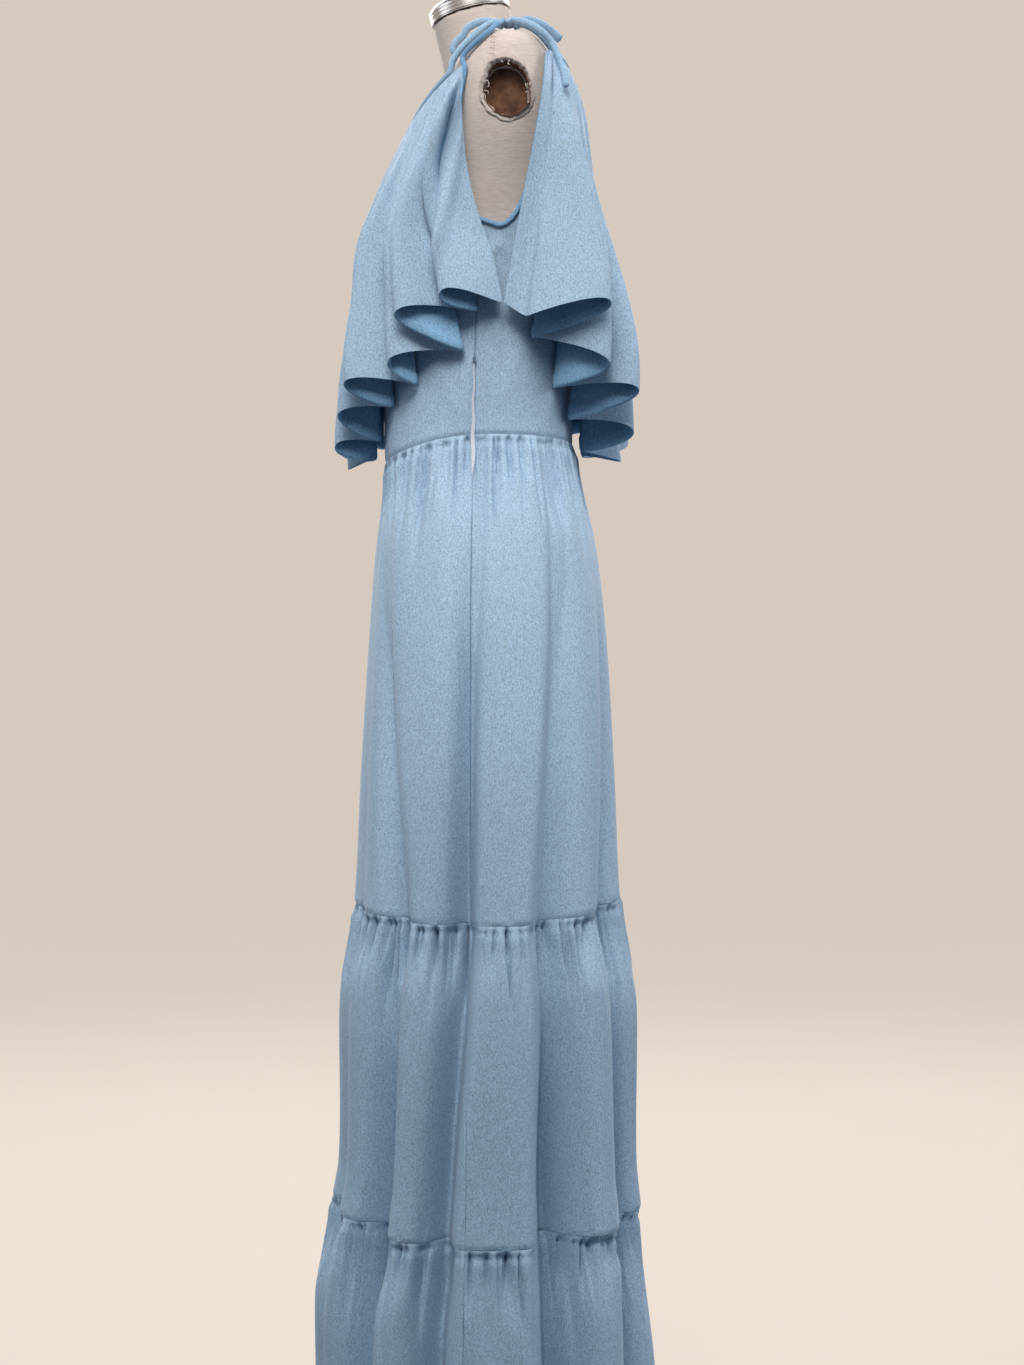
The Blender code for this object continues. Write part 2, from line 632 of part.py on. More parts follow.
def build_form(collection, cutters):
    linen = material("linen", (0.62, 0.56, 0.47), 0.9)
    board = material("board", (0.20, 0.12, 0.07), 0.9)
    chrome = material("chrome", (0.75, 0.76, 0.78), 0.15, 1.0)
    rings = []
    for z, *_ in FORM_SECTIONS:
        turns = [360.0 * index / FORM_COLUMNS for index in range(FORM_COLUMNS)]
        rings.append([ring_point(FORM_SECTIONS, turn, z) for turn in turns])
    torso = loft("form_torso", rings, linen, collection)

    lean = math.radians(NECK_LEAN)
    axis = Vector((0.0, -math.sin(lean), math.cos(lean)))
    rim = Vector(NECK_RIM)
    bpy.ops.mesh.primitive_cylinder_add(vertices=32, radius=NECK_RADIUS, depth=NECK_LENGTH,
                                        location=rim - axis * NECK_LENGTH / 2, rotation=(lean, 0.0, 0.0))
    neck = bpy.context.object
    neck.name = "neck_tool"
    join_and_cut(torso, neck, "UNION", cutters)
    floor_x = ARM_HOLE_CENTRE[0]
    plate_half = tuple(size - SEAM_GAP for size in ARM_HOLE_HALF)
    plate_x = floor_x + SEAM_GAP
    for side, word in ((1, "left"), (-1, "right")):
        hole = oval_plug("hole_tool_" + word, side, ARM_HOLE_HALF, floor_x, floor_x + ARM_HOLE_DEPTH,
                         linen, collection)
        join_and_cut(torso, hole, "DIFFERENCE", cutters)
        oval_plug("form_arm_plate_" + word, side, plate_half, plate_x, plate_x + ARM_PLATE_THICKNESS,
                  board, collection)

    brim = NECK_RADIUS + NECK_CAP_LIP
    profile = [(0.0, NECK_CAP_HEIGHT)]
    profile += [(brim * out, NECK_CAP_HEIGHT - drop) for out, drop in NECK_CAP_ROUNDING]
    profile += [(brim, SEAM_GAP), (0.0, SEAM_GAP)]
    cap = turned("form_neck_cap", profile, chrome, collection)
    cap.location = rim
    cap.rotation_euler = (lean, 0.0, 0.0)


def join_and_cut(target, tool, operation, cutters):
    """Join a tool to the target, or cut it out, and put the tool among the cutters."""
    move_to(tool, cutters)
    tool.hide_render = True
    tool.display_type = "WIRE"
    step = target.modifiers.new(tool.name, "BOOLEAN")
    step.object = tool
    step.operation = operation
    step.solver = "EXACT"


def turned(name, profile, surface, collection, steps=32):
    """A turned solid: the profile runs down its outer side from the axis back to the axis."""
    mesh = bpy.data.meshes.new(name)
    mesh.from_pydata([(x, 0.0, z) for x, z in profile], [(i, i + 1) for i in range(len(profile) - 1)], [])
    made = new_object(name, mesh, surface, collection)
    spin = made.modifiers.new("turn", "SCREW")
    spin.steps = steps
    spin.render_steps = steps
    spin.use_merge_vertices = True
    spin.merge_threshold = 0.00001
    return made


def build_stand(collection):
    enamel = material("stand_enamel", (0.05, 0.05, 0.05), 0.4)
    steel = material("stand_steel", (0.6, 0.6, 0.6), 0.3, 1.0)
    profile = [(0.0, BASE_HEIGHT), (BASE_RADIUS - BASE_EDGE, BASE_HEIGHT),
               (BASE_RADIUS, BASE_HEIGHT - BASE_EDGE), (BASE_RADIUS, 0.0), (0.0, 0.0)]
    turned("stand_base", profile, enamel, collection, 40)
    foot, top = BASE_HEIGHT + SEAM_GAP, FORM_SECTIONS[0][0] - SEAM_GAP
    bpy.ops.mesh.primitive_cylinder_add(vertices=20, radius=POLE_RADIUS, depth=top - foot,
                                        location=(0.0, 0.0, (top + foot) / 2))
    pole = bpy.context.object
    pole.name = "stand_pole"
    move_to(pole, collection)
    pole.data.materials.append(steel)


def neckline_path(neckline, count):
    """Points of the neckline's rolled edge from the left tie to the right one."""
    path = []
    for index in range(count + 1):
        turn = mix(neckline["tie"], math.copysign(180.0, neckline["centre"]) - neckline["tie"], index / count)
        z = neckline_z(neckline, turn) + TIE_RADIUS + SEAM_GAP * 3
        path.append(ring_point(FORM_SECTIONS, turn, z, (BODICE_EASE + FLOUNCE_EASE) / 2))
    return path


def mirrored(points, side):
    return [Vector((point[0] * side, point[1], point[2])) for point in points]


def knot_ends(across, along, up):
    """Where a tie leaves the knot squarely in a direction, and a point a little farther on."""
    direction = Vector((across, along, up)).normalized()
    reach = Vector([part * half ** 2 for part, half in zip(direction, KNOT_HALF)])
    reach /= math.sqrt(sum((part * half) ** 2 for part, half in zip(direction, KNOT_HALF)))
    start = Vector(KNOT_CENTRE) + reach + direction * SEAM_GAP
    return [start, start + direction * SEAM_GAP * 10]


def tie_path(points):
    """A smooth path through the points, which leaves the first one straight."""
    return [Vector(points[0])] + smooth_path(points[1:], 2)


def armhole_path():
    """The centre line of the left armhole's bound edge, from the back corner down and up to the front one."""
    edge = []
    for table, neckline in ((BODICE_BACK_EDGE, NECK_BACK), (BODICE_FRONT_EDGE, NECK_FRONT)):
        lines = bodice_lines(table, neckline, BODICE_EASE)
        tops = [line[0] for line in lines[:1 + sum(row[2] is not None for row in table)]]
        edge = list(reversed(tops)) if neckline is NECK_BACK else edge + tops[1:]
    edge[0] = mix(edge[1], edge[0], 0.3)
    path = []
    for index, point in enumerate(edge):
        along = edge[min(index + 1, len(edge) - 1)] - edge[max(index - 1, 0)]
        outward = Vector((point.x, point.y, 0.0)).normalized()
        beside = point + along.cross(outward).normalized() * (BINDING_RADIUS + SEAM_GAP * 3)
        path.append(clear_of_form(beside, BODICE_EASE))
    return path


def on_flounce(turn, z, lift):
    """A point where a tie lies on a flounce near the shoulder."""
    return ring_point(FORM_SECTIONS, turn, z, FLOUNCE_EASE + TIE_RADIUS + lift)


def build_ties(collection):
    front_strand = knot_ends(0.1, -1.0, 0.0) + [(0.1130, 0.0110, 1.4800), (0.1260, 0.0035, 1.4730),
                                                (0.1340, -0.0055, 1.4640), (0.1375, -0.0145, 1.4545),
                                                (0.1375, -0.0230, 1.4450), (0.1370, -0.0290, 1.4355)]
    back_strand = knot_ends(0.1, 1.0, -0.1) + [(0.1120, 0.0410, 1.4762), (0.1240, 0.0530, 1.4655)]
    for name, strand, neckline in (("neck_tie_front", front_strand, NECK_FRONT),
                                   ("neck_tie_back", back_strand, NECK_BACK)):
        left = tie_path(strand + [neckline_path(neckline, 14)[0]])[:-1]
        right = list(reversed(mirrored(left, -1)))
        tube(name, left + neckline_path(neckline, 14) + right, TIE_RADIUS, crepe(name, 0.8), collection)
    square_tail = knot_ends(-0.8, 0.7, 0.3) + [(0.0990, 0.0425, 1.4850), (0.1070, 0.0576, 1.4772),
                                               (0.1070, 0.0671, 1.4696), (0.1070, 0.0738, 1.4640)]
    hanging_tail = knot_ends(0.9, 0.6, 0.1) + [(0.1200, 0.0340, 1.4790), (0.1320, 0.0440, 1.4725),
                                               (0.1385, 0.0545, 1.4640)]
    hanging_tail += [on_flounce(*place) for place in ((37.5, 1.4520, 0.003), (38.0, 1.4340, 0.006),
                                                      (36.0, 1.4180, 0.011), (34.5, 1.4060, 0.013))]
    loop = knot_ends(-0.8, -0.7, 0.3) + [(0.0990, 0.0010, 1.4840), (0.1080, -0.0140, 1.4760),
                                         (0.1100, -0.0200, 1.4672), (0.1150, -0.0263, 1.4595),
                                         (0.1165, -0.0290, 1.4525), (0.1165, -0.0266, 1.4474)]
    binding_rise = [(0.1445, -0.0195, 1.4345), (0.1437, -0.0184, 1.4400), (0.1465, -0.0115, 1.4470),
                    (0.1500, -0.0005, 1.4560), (0.1480, 0.0075, 1.4630), (0.1395, 0.0125, 1.4705),
                    (0.1220, 0.0160, 1.4770)]
    binding_end = knot_ends(0.8, -0.6, 0.0)
    for side, word in ((1, "left"), (-1, "right")):
        rise = smooth_path(armhole_path()[-1:] + binding_rise + binding_end[1:], 2)
        armhole = armhole_path()[:-1] + rise + binding_end[:1]
        tube("armhole_binding_" + word, mirrored(armhole, side), BINDING_RADIUS,
             crepe("armhole_binding_" + word, 0.6), collection)
        for name, route in (("tie_tail_back_", square_tail), ("tie_tail_hanging_", hanging_tail),
                            ("tie_loop_", loop)):
            tube(name + word, mirrored(tie_path(route), side), TIE_RADIUS,
                 crepe(name + word, 0.8), collection)
        bpy.ops.mesh.primitive_uv_sphere_add(segments=12, ring_count=8, radius=1.0)
        knot = bpy.context.object
        knot.name = "shoulder_knot_" + word
        knot.data.transform(Matrix.Diagonal((*KNOT_HALF, 1.0)))
        knot.location = mirrored([KNOT_CENTRE], side)[0]
        knot.data.materials.append(crepe(knot.name, 0.8))
        move_to(knot, collection)


def move_to(thing, collection):
    for home in list(thing.users_collection):
        home.objects.unlink(thing)
    collection.objects.link(thing)


def build_zip(collection):
    tape = material("zip_tape", (0.72, 0.66, 0.66), 0.7)
    pull = material("zip_slider", (0.12, 0.18, 0.28), 0.4, 0.6)
    grid = []
    levels = 9
    for index in range(levels):
        z = mix(ZIP_TOP_Z, ZIP_BOTTOM_Z, index / (levels - 1))
        seam = ring_point(FORM_SECTIONS, SIDE_SEAM_TURN, z, BODICE_EASE)
        reach = seam.x
        if z < WAIST_Z + ZIP_CLEARANCE:
            below = min(z, WAIST_Z - SEAM_GAP)
            beside = [skirt_point(SIDE_SEAM_TURN + away, below) for away in (-2.0, 0.0, 2.0)]
            reach = max([reach] + [clear_of_form(point, SKIRT_CLEARANCE).x for point in beside])
        reach += ZIP_CLEARANCE + ZIP_THICKNESS
        grid.append([Vector((reach, seam.y + across * ZIP_WIDTH, z)) for across in (0.5, 0.0, -0.5)])
    cloth_wall("zip_tape_left", grid, tape, collection, True, thickness=ZIP_THICKNESS)
    bpy.ops.mesh.primitive_cube_add(size=1.0)
    slider = bpy.context.object
    slider.name = "zip_slider_left"
    slider.data.transform(Matrix.Diagonal((*ZIP_SLIDER, 1.0)))
    top = grid[0][1]
    slider.location = (top.x + ZIP_CLEARANCE / 2, top.y, top.z + SEAM_GAP + ZIP_SLIDER[2] / 2)
    slider.data.materials.append(pull)
    move_to(slider, collection)


def main():
    for thing in list(bpy.data.objects):
        bpy.data.objects.remove(thing, do_unlink=True)
    collection = bpy.data.collections.new(OBJECT_NAME)
    cutters = bpy.data.collections.new("cutters")
    bpy.context.scene.collection.children.link(collection)
    bpy.context.scene.collection.children.link(cutters)
    build_form(collection, cutters)
    build_stand(collection)
    build_bodice(collection)
    build_flounces(collection)
    build_skirt(collection)
    build_ties(collection)
    build_zip(collection)


main()
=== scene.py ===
"""Visual model of a flutter maxi dress on a limbless dress form.

Metres, +Z up, -Y is the dress's front and +X the wearer's left. A turn is an angle round
the body in degrees: 0 at the left side, -90 at the centre front, 90 at the centre back and
180 at the right side.
"""

import math

import bpy
import numpy as np
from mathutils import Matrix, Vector


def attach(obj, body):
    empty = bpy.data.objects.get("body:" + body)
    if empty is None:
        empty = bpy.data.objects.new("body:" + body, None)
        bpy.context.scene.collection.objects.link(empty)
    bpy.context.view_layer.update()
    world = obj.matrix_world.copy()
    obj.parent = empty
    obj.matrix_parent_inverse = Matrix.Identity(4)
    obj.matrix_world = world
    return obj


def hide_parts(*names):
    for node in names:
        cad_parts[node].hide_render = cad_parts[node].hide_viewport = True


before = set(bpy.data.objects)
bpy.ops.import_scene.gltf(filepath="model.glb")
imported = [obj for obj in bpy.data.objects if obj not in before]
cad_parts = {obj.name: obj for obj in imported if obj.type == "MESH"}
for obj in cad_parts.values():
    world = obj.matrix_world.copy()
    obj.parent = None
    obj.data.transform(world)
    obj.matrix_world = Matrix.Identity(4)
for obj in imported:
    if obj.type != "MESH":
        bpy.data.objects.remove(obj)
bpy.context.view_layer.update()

CLOTH = 0.0015
SEAM_GAP = 0.0003
HEM_Z = 0.020
SEAM_2_Z = 0.332
SEAM_1_Z = 0.626
WAIST_Z = 1.086
WAIST_DIP = 0.019
SIDE_SEAM_TURN = -4.0
BODY_SQUARENESS = 2.3
BODICE_EASE = 0.0045
FLOUNCE_EASE = 0.0085
SKIRT_CLEARANCE = 0.0060
BACK_CLEARANCE = 0.0010
HIP_REST_Z = 0.800

FORM_SECTIONS = [
    # z,    width, front, back, side
    (0.840, 0.150, 0.0940, 0.0980, 0.0000),
    (0.870, 0.157, 0.1010, 0.1060, 0.0000),
    (0.920, 0.155, 0.1030, 0.1080, 0.0000),
    (0.980, 0.146, 0.0990, 0.1030, 0.0000),
    (1.040, 0.127, 0.0940, 0.0900, 0.0000),
    (1.086, 0.118, 0.0955, 0.0830, 0.0000),
    (1.140, 0.121, 0.0960, 0.0840, 0.0010),
    (1.210, 0.126, 0.1000, 0.0890, 0.0040),
    (1.275, 0.133, 0.1130, 0.0940, 0.0070),
    (1.325, 0.143, 0.1010, 0.0970, 0.0100),
    (1.370, 0.155, 0.0790, 0.0960, 0.0140),
    (1.410, 0.162, 0.0580, 0.0900, 0.0180),
    (1.440, 0.159, 0.0420, 0.0800, 0.0195),
    (1.459, 0.150, 0.0270, 0.0710, 0.0200),
    (1.467, 0.134, 0.0200, 0.0640, 0.0190),
    (1.473, 0.108, 0.0180, 0.0580, 0.0160),
    (1.482, 0.078, 0.0185, 0.0500, 0.0100),
    (1.491, 0.056, 0.0190, 0.0430, 0.0060),
    (1.497, 0.042, 0.0160, 0.0360, 0.0040),
]
NECK_RADIUS = 0.0395
NECK_LEAN = 14.0
NECK_RIM = (0.0, -0.014, 1.515)
NECK_LENGTH = 0.090
NECK_ROOT_Z = 1.462
NECK_ROOT_TOP_Z = 1.506
NECK_ROOT_RADIUS = 0.085
NECK_CAP_HEIGHT = 0.022
TORSO_VOXEL = 0.0033
ARM_HOLE_CENTRE = (0.140, 0.0225, 1.407)

SKIRT_SECTIONS = [
    # z,    width, front, back, side
    (1.090, 0.1240, 0.0985, 0.0880, 0.0),
    (1.050, 0.1370, 0.1030, 0.0980, 0.0),
    (0.980, 0.1590, 0.1110, 0.1140, 0.0),
    (0.890, 0.1780, 0.1180, 0.1260, 0.0),
    (0.770, 0.1920, 0.1250, 0.1350, 0.0),
    (0.632, 0.1980, 0.1320, 0.1430, 0.0),
    (0.556, 0.2070, 0.1450, 0.1570, 0.0),
    (0.384, 0.2110, 0.1520, 0.1620, 0.0),
    (0.338, 0.2140, 0.1610, 0.1670, 0.0),
    (0.257, 0.2220, 0.1750, 0.1710, 0.0),
    (0.167, 0.2300, 0.1760, 0.1790, 0.0),
    (0.020, 0.2420, 0.1810, 0.1850, 0.0),
]
SKIRT_FOLDS = [
    # turn at waist, seam 1, seam 2, hem; depth at waist, seam 1, seam 2, hem; half width; lean
    (-60.0, -33.0, -36.5, -41.0, 0.006, 0.036, 0.062, 0.064, 6.5, -0.65),
    (-2.0, -4.5, -10.5, -13.5, 0.006, 0.040, 0.050, 0.052, 4.2, -0.60),
    (37.5, 20.5, 19.5, 20.0, 0.006, 0.036, 0.072, 0.072, 6.5, 0.65),
    (80.0, 55.0, 59.0, 53.0, 0.005, 0.034, 0.058, 0.056, 7.6, 0.30),
    (98.0, 80.0, 84.0, 84.0, 0.004, 0.012, 0.024, 0.030, 7.0, 0.4),
    (118.0, 106.0, 106.0, 105.0, 0.004, 0.014, 0.036, 0.038, 7.0, -0.4),
    (145.0, 140.0, 136.0, 136.0, 0.000, -0.016, -0.032, -0.030, 14.0, 0.0),
    (140.0, 132.0, 127.0, 127.0, 0.004, 0.010, 0.016, 0.018, 6.0, -0.4),
    (163.0, 165.0, 164.0, 163.0, 0.004, 0.022, 0.056, 0.056, 6.5, 0.5),
    (190.0, 192.0, 190.0, 189.0, 0.005, 0.024, 0.040, 0.044, 6.0, -0.5),
    (216.0, 219.0, 217.0, 218.0, 0.004, 0.014, 0.046, 0.046, 7.5, 0.5),
    (243.0, 245.0, 244.0, 242.0, 0.004, 0.014, 0.034, 0.038, 7.0, 0.5),
    (268.0, 268.0, 267.0, 266.0, 0.004, 0.012, 0.040, 0.042, 7.5, -0.4),
    (287.0, 293.0, 292.0, 293.0, 0.004, 0.012, 0.028, 0.030, 6.5, -0.4),
]
FOLD_DRAW = 0.45
FOLD_FLOOR = 0.6
FOLD_RISE = 1.5
FOLD_LEAN = 1.5
SEAMS = {
    # name: height at the left side, and how much higher it is in front, behind and on the right
    "seam_1": (SEAM_1_Z, 0.004, 0.010, 0.010),
    "seam_2": (SEAM_2_Z, 0.014, 0.004, 0.000),
    "hem": (HEM_Z, 0.0, 0.0, 0.0),
}
TIERS = [
    # name, top, bottom, gathers, puckers between them, depth and length of the gathers, rows
    ("tier_1", "waist", "seam_1", 40, 72, 0.0045, 0.110, 76),
    ("tier_2", "seam_1", "seam_2", 48, 104, 0.0050, 0.090, 62),
    ("tier_3", "seam_2", "hem", 46, 110, 0.0055, 0.095, 62),
]
GATHER_STEPS = 14
SEAM_ZONE = 0.012
FINE_CREASE_DEPTH = 0.0075
FINE_BULGE = 0.0026
SEAM_PINCH = 0.0016
PINCH_BELOW = 0.0016
PINCH_ABOVE = 0.0022
SIDE_ROLL = 0.0006
HEM_ROWS = 6
HEM_THICKNESS = CLOTH * 1.7

BODICE_FRONT_EDGE = [
    # waist, top, height, or None on the neckline
    (-4.0, -4.0, 1.2845),
    (-11.0, -9.0, 1.2960),
    (-18.0, -14.0, 1.3180),
    (-25.0, -19.0, 1.3520),
    (-32.0, -24.5, 1.3920),
    (-39.0, -28.5, None),
    (-48.0, -38.5, None),
    (-58.0, -50.0, None),
    (-69.0, -63.0, None),
    (-80.0, -77.0, None),
    (-90.0, -90.0, None),
]
BODICE_BACK_EDGE = [
    # waist, top, height, or None on the neckline
    (-4.0, -4.0, 1.2845),
    (4.0, 4.0, 1.2785),
    (12.0, 12.0, 1.2890),
    (20.0, 19.0, 1.3150),
    (28.0, 26.0, 1.3520),
    (36.0, 33.0, 1.3970),
    (44.0, 38.0, None),
    (55.0, 51.0, None),
    (66.0, 64.0, None),
    (78.0, 77.0, None),
    (90.0, 90.0, None),
]
NECK_FRONT = {"centre_z": 1.390, "rise": 0.049, "end": -27.5, "tie": -38.0, "join": 7.0, "centre": -90.0,
              "drift": 0.8}
NECK_BACK = {"centre_z": 1.444, "rise": 0.006, "end": 37.0, "tie": 45.0, "join": 8.0, "centre": 90.0,
             "drift": 0.5}
FRONT_HEM_TURNS = [
    # x,      y,       z,     roundness, rise
    (0.1470, 0.0185, 1.207, 0.010, 0.000),
    (0.1660, -0.0410, 1.213, 0.022, -0.036),
    (0.1380, -0.0080, 1.200, 0.014, 0.008),
    (0.1540, -0.0820, 1.196, 0.026, -0.036),
    (0.1330, -0.0200, 1.163, 0.018, 0.008),
    (0.1260, -0.0900, 1.154, 0.026, -0.036),
    (0.1080, -0.0640, 1.134, 0.018, 0.008),
    (0.0930, -0.1340, 1.137, 0.026, -0.036),
    (0.0760, -0.0880, 1.116, 0.018, 0.008),
    (0.0560, -0.1430, 1.110, 0.026, -0.036),
    (0.0360, -0.1040, 1.087, 0.018, 0.008),
    (0.0250, -0.1490, 1.082, 0.020, -0.036),
    (0.0125, -0.1100, 1.074, 0.011, 0.008),
    (0.0000, -0.1360, 1.063, 0.014, 0.000),
]
BACK_HEM_TURNS = [
    # x,      y,       z,     roundness, rise
    (0.1470, 0.0195, 1.207, 0.010, 0.000),
    (0.1560, 0.0420, 1.193, 0.018, 0.000),
    (0.1520, 0.1200, 1.206, 0.026, -0.036),
    (0.1260, 0.0460, 1.177, 0.018, 0.008),
    (0.1280, 0.1190, 1.153, 0.026, -0.036),
    (0.0990, 0.0680, 1.132, 0.018, 0.008),
    (0.0960, 0.1490, 1.131, 0.026, -0.036),
    (0.0700, 0.0830, 1.105, 0.018, 0.008),
    (0.0540, 0.1460, 1.095, 0.026, -0.036),
    (0.0290, 0.0960, 1.078, 0.018, 0.008),
    (0.0000, 0.1360, 1.071, 0.028, 0.000),
]
PANELS = (
    # word, bodice's edge, flounce's hem, neckline, step that takes the columns clockwise from above
    ("front", BODICE_FRONT_EDGE, FRONT_HEM_TURNS, NECK_FRONT, 1),
    ("back", BODICE_BACK_EDGE, BACK_HEM_TURNS, NECK_BACK, -1),
)
RIGHT_FOLD_DEPTHS = (1.0, 0.90, 1.0, 1.06, 1.0, 0.92, 1.0, 1.05, 1.0, 0.94, 1.0, 0.90, 1.0, 1.0)
FLOUNCE_STEPS = 14
FLOUNCE_LENGTH = 0.26
FLOUNCE_GATHERS = 34
FLOUNCE_GATHER_DEPTH = 0.0042
FLOUNCE_HEM = 0.958
FLOUNCE_HEM_THICKNESS = CLOTH * 1.75
HEM_LEAD = 2.2
BODICE_SEAM_INSET = 0.0008
WAIST_RADIUS = 0.13
WAIST_PUCKERS = 24

TIE_RADIUS = 0.0034
TIE_STEPS = 8
NECK_DROP = TIE_RADIUS * 0.2
BINDING_RADIUS = 0.0025
KNOT_CENTRE = (0.0980, 0.0235, 1.4818)
KNOT_HALF = (0.0105, 0.0070, 0.0040)
ZIP_TOP_Z = 1.153
ZIP_BOTTOM_Z = 1.046
ZIP_WIDTH = 0.0042
ZIP_THICKNESS = 0.0010
ZIP_CLEARANCE = 0.0016
ZIP_WAVE = 0.0004
LAP_HEIGHT = 0.0026
ROPE_END = 0.03
SQUARE_END = 0.35
GROOVE_WIDTH = 0.35
SIDES = ((1, "left"), (-1, "right"))


def smoothstep(share):
    share = np.clip(share, 0.0, 1.0)
    return share * share * (3.0 - 2.0 * share)


def mix(first, second, share):
    return first + (second - first) * share


def unit(vectors):
    return vectors / np.maximum(np.linalg.norm(vectors, axis=-1, keepdims=True), 1e-9)


def hermite(start, end, start_slope, end_slope, share):
    """A smooth curve from start to end with the slopes at its ends, at a share of the way."""
    squared, cubed = share ** 2, share ** 3
    return ((2 * cubed - 3 * squared + 1) * start + (cubed - 2 * squared + share) * start_slope
            + (3 * squared - 2 * cubed) * end + (cubed - squared) * end_slope)


def curve_through(keys, values, wanted):
    """A smooth curve through the values, read at the wanted keys."""
    slopes = np.empty_like(values)
    slopes[1:-1] = (values[2:] - values[:-2]) / (keys[2:] - keys[:-2])
    slopes[0] = (values[1] - values[0]) / (keys[1] - keys[0])
    slopes[-1] = (values[-1] - values[-2]) / (keys[-1] - keys[-2])
    wanted = np.clip(wanted, keys[0], keys[-1])
    index = np.clip(np.searchsorted(keys, wanted, side="right") - 1, 0, len(keys) - 2)
    span = keys[index + 1] - keys[index]
    return hermite(values[index], values[index + 1], span * slopes[index], span * slopes[index + 1],
                   (wanted - keys[index]) / span)


def sections_at(sections, z):
    """The width, front, back and side of a body's sections at a height."""
    heights, *columns = np.array(sorted(sections)).T
    return [curve_through(heights, column, z) for column in columns]


def outward(points):
    """Level directions away from the body's axis."""
    return unit(points * np.array([1.0, 1.0, 0.0]))


def ring_points(sections, turn, z, ease=0.0):
    """Points on the rounded sections of a body, moved out by the ease."""
    turn, z = np.broadcast_arrays(np.asarray(turn, float), np.asarray(z, float))
    width, front, back, side = sections_at(sections, z)
    across, deep = np.cos(np.radians(turn)), np.sin(np.radians(turn))
    power = 2.0 / BODY_SQUARENESS
    depth = np.where(deep > 0, back - side, front + side) + ease
    x = np.sign(across) * np.abs(across) ** power * (width + ease)
    y = side + np.sign(deep) * np.abs(deep) ** power * depth
    return np.stack([x, y, z], axis=-1)


def round_form(turn, z, ease=0.0):
    """Points round the dress form, moved out by the ease."""
    return ring_points(FORM_SECTIONS, turn, z, ease)


def clear_of_form(points, ease):
    """The points, moved out where they lie nearer the form than the ease."""
    x, y, z = points[..., 0], points[..., 1], points[..., 2]
    width, front, back, side = sections_at(FORM_SECTIONS, z)
    deep = y - side
    depth = np.where(deep > 0, back - side, front + side) + ease
    reach = np.abs(x / (width + ease)) ** BODY_SQUARENESS + np.abs(deep / depth) ** BODY_SQUARENESS
    scale = np.where(reach < 1.0, np.maximum(reach, 1e-6) ** (-1.0 / BODY_SQUARENESS), 1.0)
    return np.stack([x * scale, side + deep * scale, z], axis=-1)


def waist_z(turn):
    return WAIST_Z - WAIST_DIP * np.maximum(0.0, -np.sin(np.radians(turn))) ** 1.5


def neckline_z(neckline, turn):
    return neckline["centre_z"] + neckline["rise"] * np.cos(np.radians(turn)) ** 2


def smooth_path(points, steps):
    """Points on a smooth curve through the given ones."""
    points = np.asarray(points, float)
    before = np.concatenate([points[:1], points[:-2]])
    after = np.concatenate([points[2:], points[-1:]])
    path = []
    for start, end, back, ahead in zip(points[:-1], points[1:], before, after):
        share = (np.arange(steps) / steps)[:, None]
        path.append(0.5 * (2 * start + (end - back) * share
                           + (2 * back - 5 * start + 4 * end - ahead) * share ** 2
                           + (3 * start - back - 3 * end + ahead) * share ** 3))
    return np.concatenate(path + [points[-1:]])


# Materials

DARK_FLECK = 0.31
LIGHT_FLECK = 0.30


class Surface:
    """A new material, with short ways to add and link its nodes."""

    def __init__(self, name, colour, roughness, metallic=0.0):
        self.made = bpy.data.materials.new(name)
        self.made.use_nodes = True
        self.nodes, self.links = self.made.node_tree.nodes, self.made.node_tree.links
        self.place = self.nodes.new("ShaderNodeTexCoord").outputs["Object"]
        self.set(Base_Color=(*colour, 1.0), Roughness=roughness, Metallic=metallic)

    def fill(self, socket, value):
        """Link a socket to an output, or set it to a value."""
        if hasattr(value, "is_output"):
            self.links.new(value, socket)
        else:
            socket.default_value = value

    def set(self, **values):
        """Fill the shader's inputs, whose names have underscores for spaces."""
        for name, value in values.items():
            self.fill(self.nodes["Principled BSDF"].inputs[name.replace("_", " ")], value)
        return self.made

    def add(self, kind, **values):
        node = self.nodes.new("ShaderNode" + kind)
        for name, value in values.items():
            self.fill(node.inputs[name], value)
        return node

    def noise(self, scale, detail, roughness=0.5, stretch=None):
        place = self.add("Mapping", Vector=self.place, Scale=stretch).outputs[0] if stretch else self.place
        node = self.add("TexNoise", Vector=place, Scale=scale, Detail=detail, Roughness=roughness)
        return node.outputs["Fac"]

    def ramp(self, source, stops):
        node = self.add("ValToRGB", Fac=source)
        elements = node.color_ramp.elements
        while len(elements) < len(stops):
            elements.new(0.5)
        for element, (place, colour) in zip(elements, stops):
            element.position = place
            element.color = (*colour, 1.0)
        return node.outputs[0]

    def blend(self, first, second, source, low, high, amount):
        """The first colour, turning to the second by up to the amount as the source goes from low to high."""
        node = self.add("Mix")
        node.data_type = "RGBA"
        share = self.ramp(source, [(low, (0.0,) * 3), (high, (amount,) * 3)])
        for index, value in ((0, share), (6, first), (7, (*second, 1.0))):
            self.fill(node.inputs[index], value)
        return node.outputs[2]

    def bump(self, height, strength, distance, **normal):
        return self.add("Bump", Height=height, Strength=strength, Distance=distance, **normal).outputs[0]


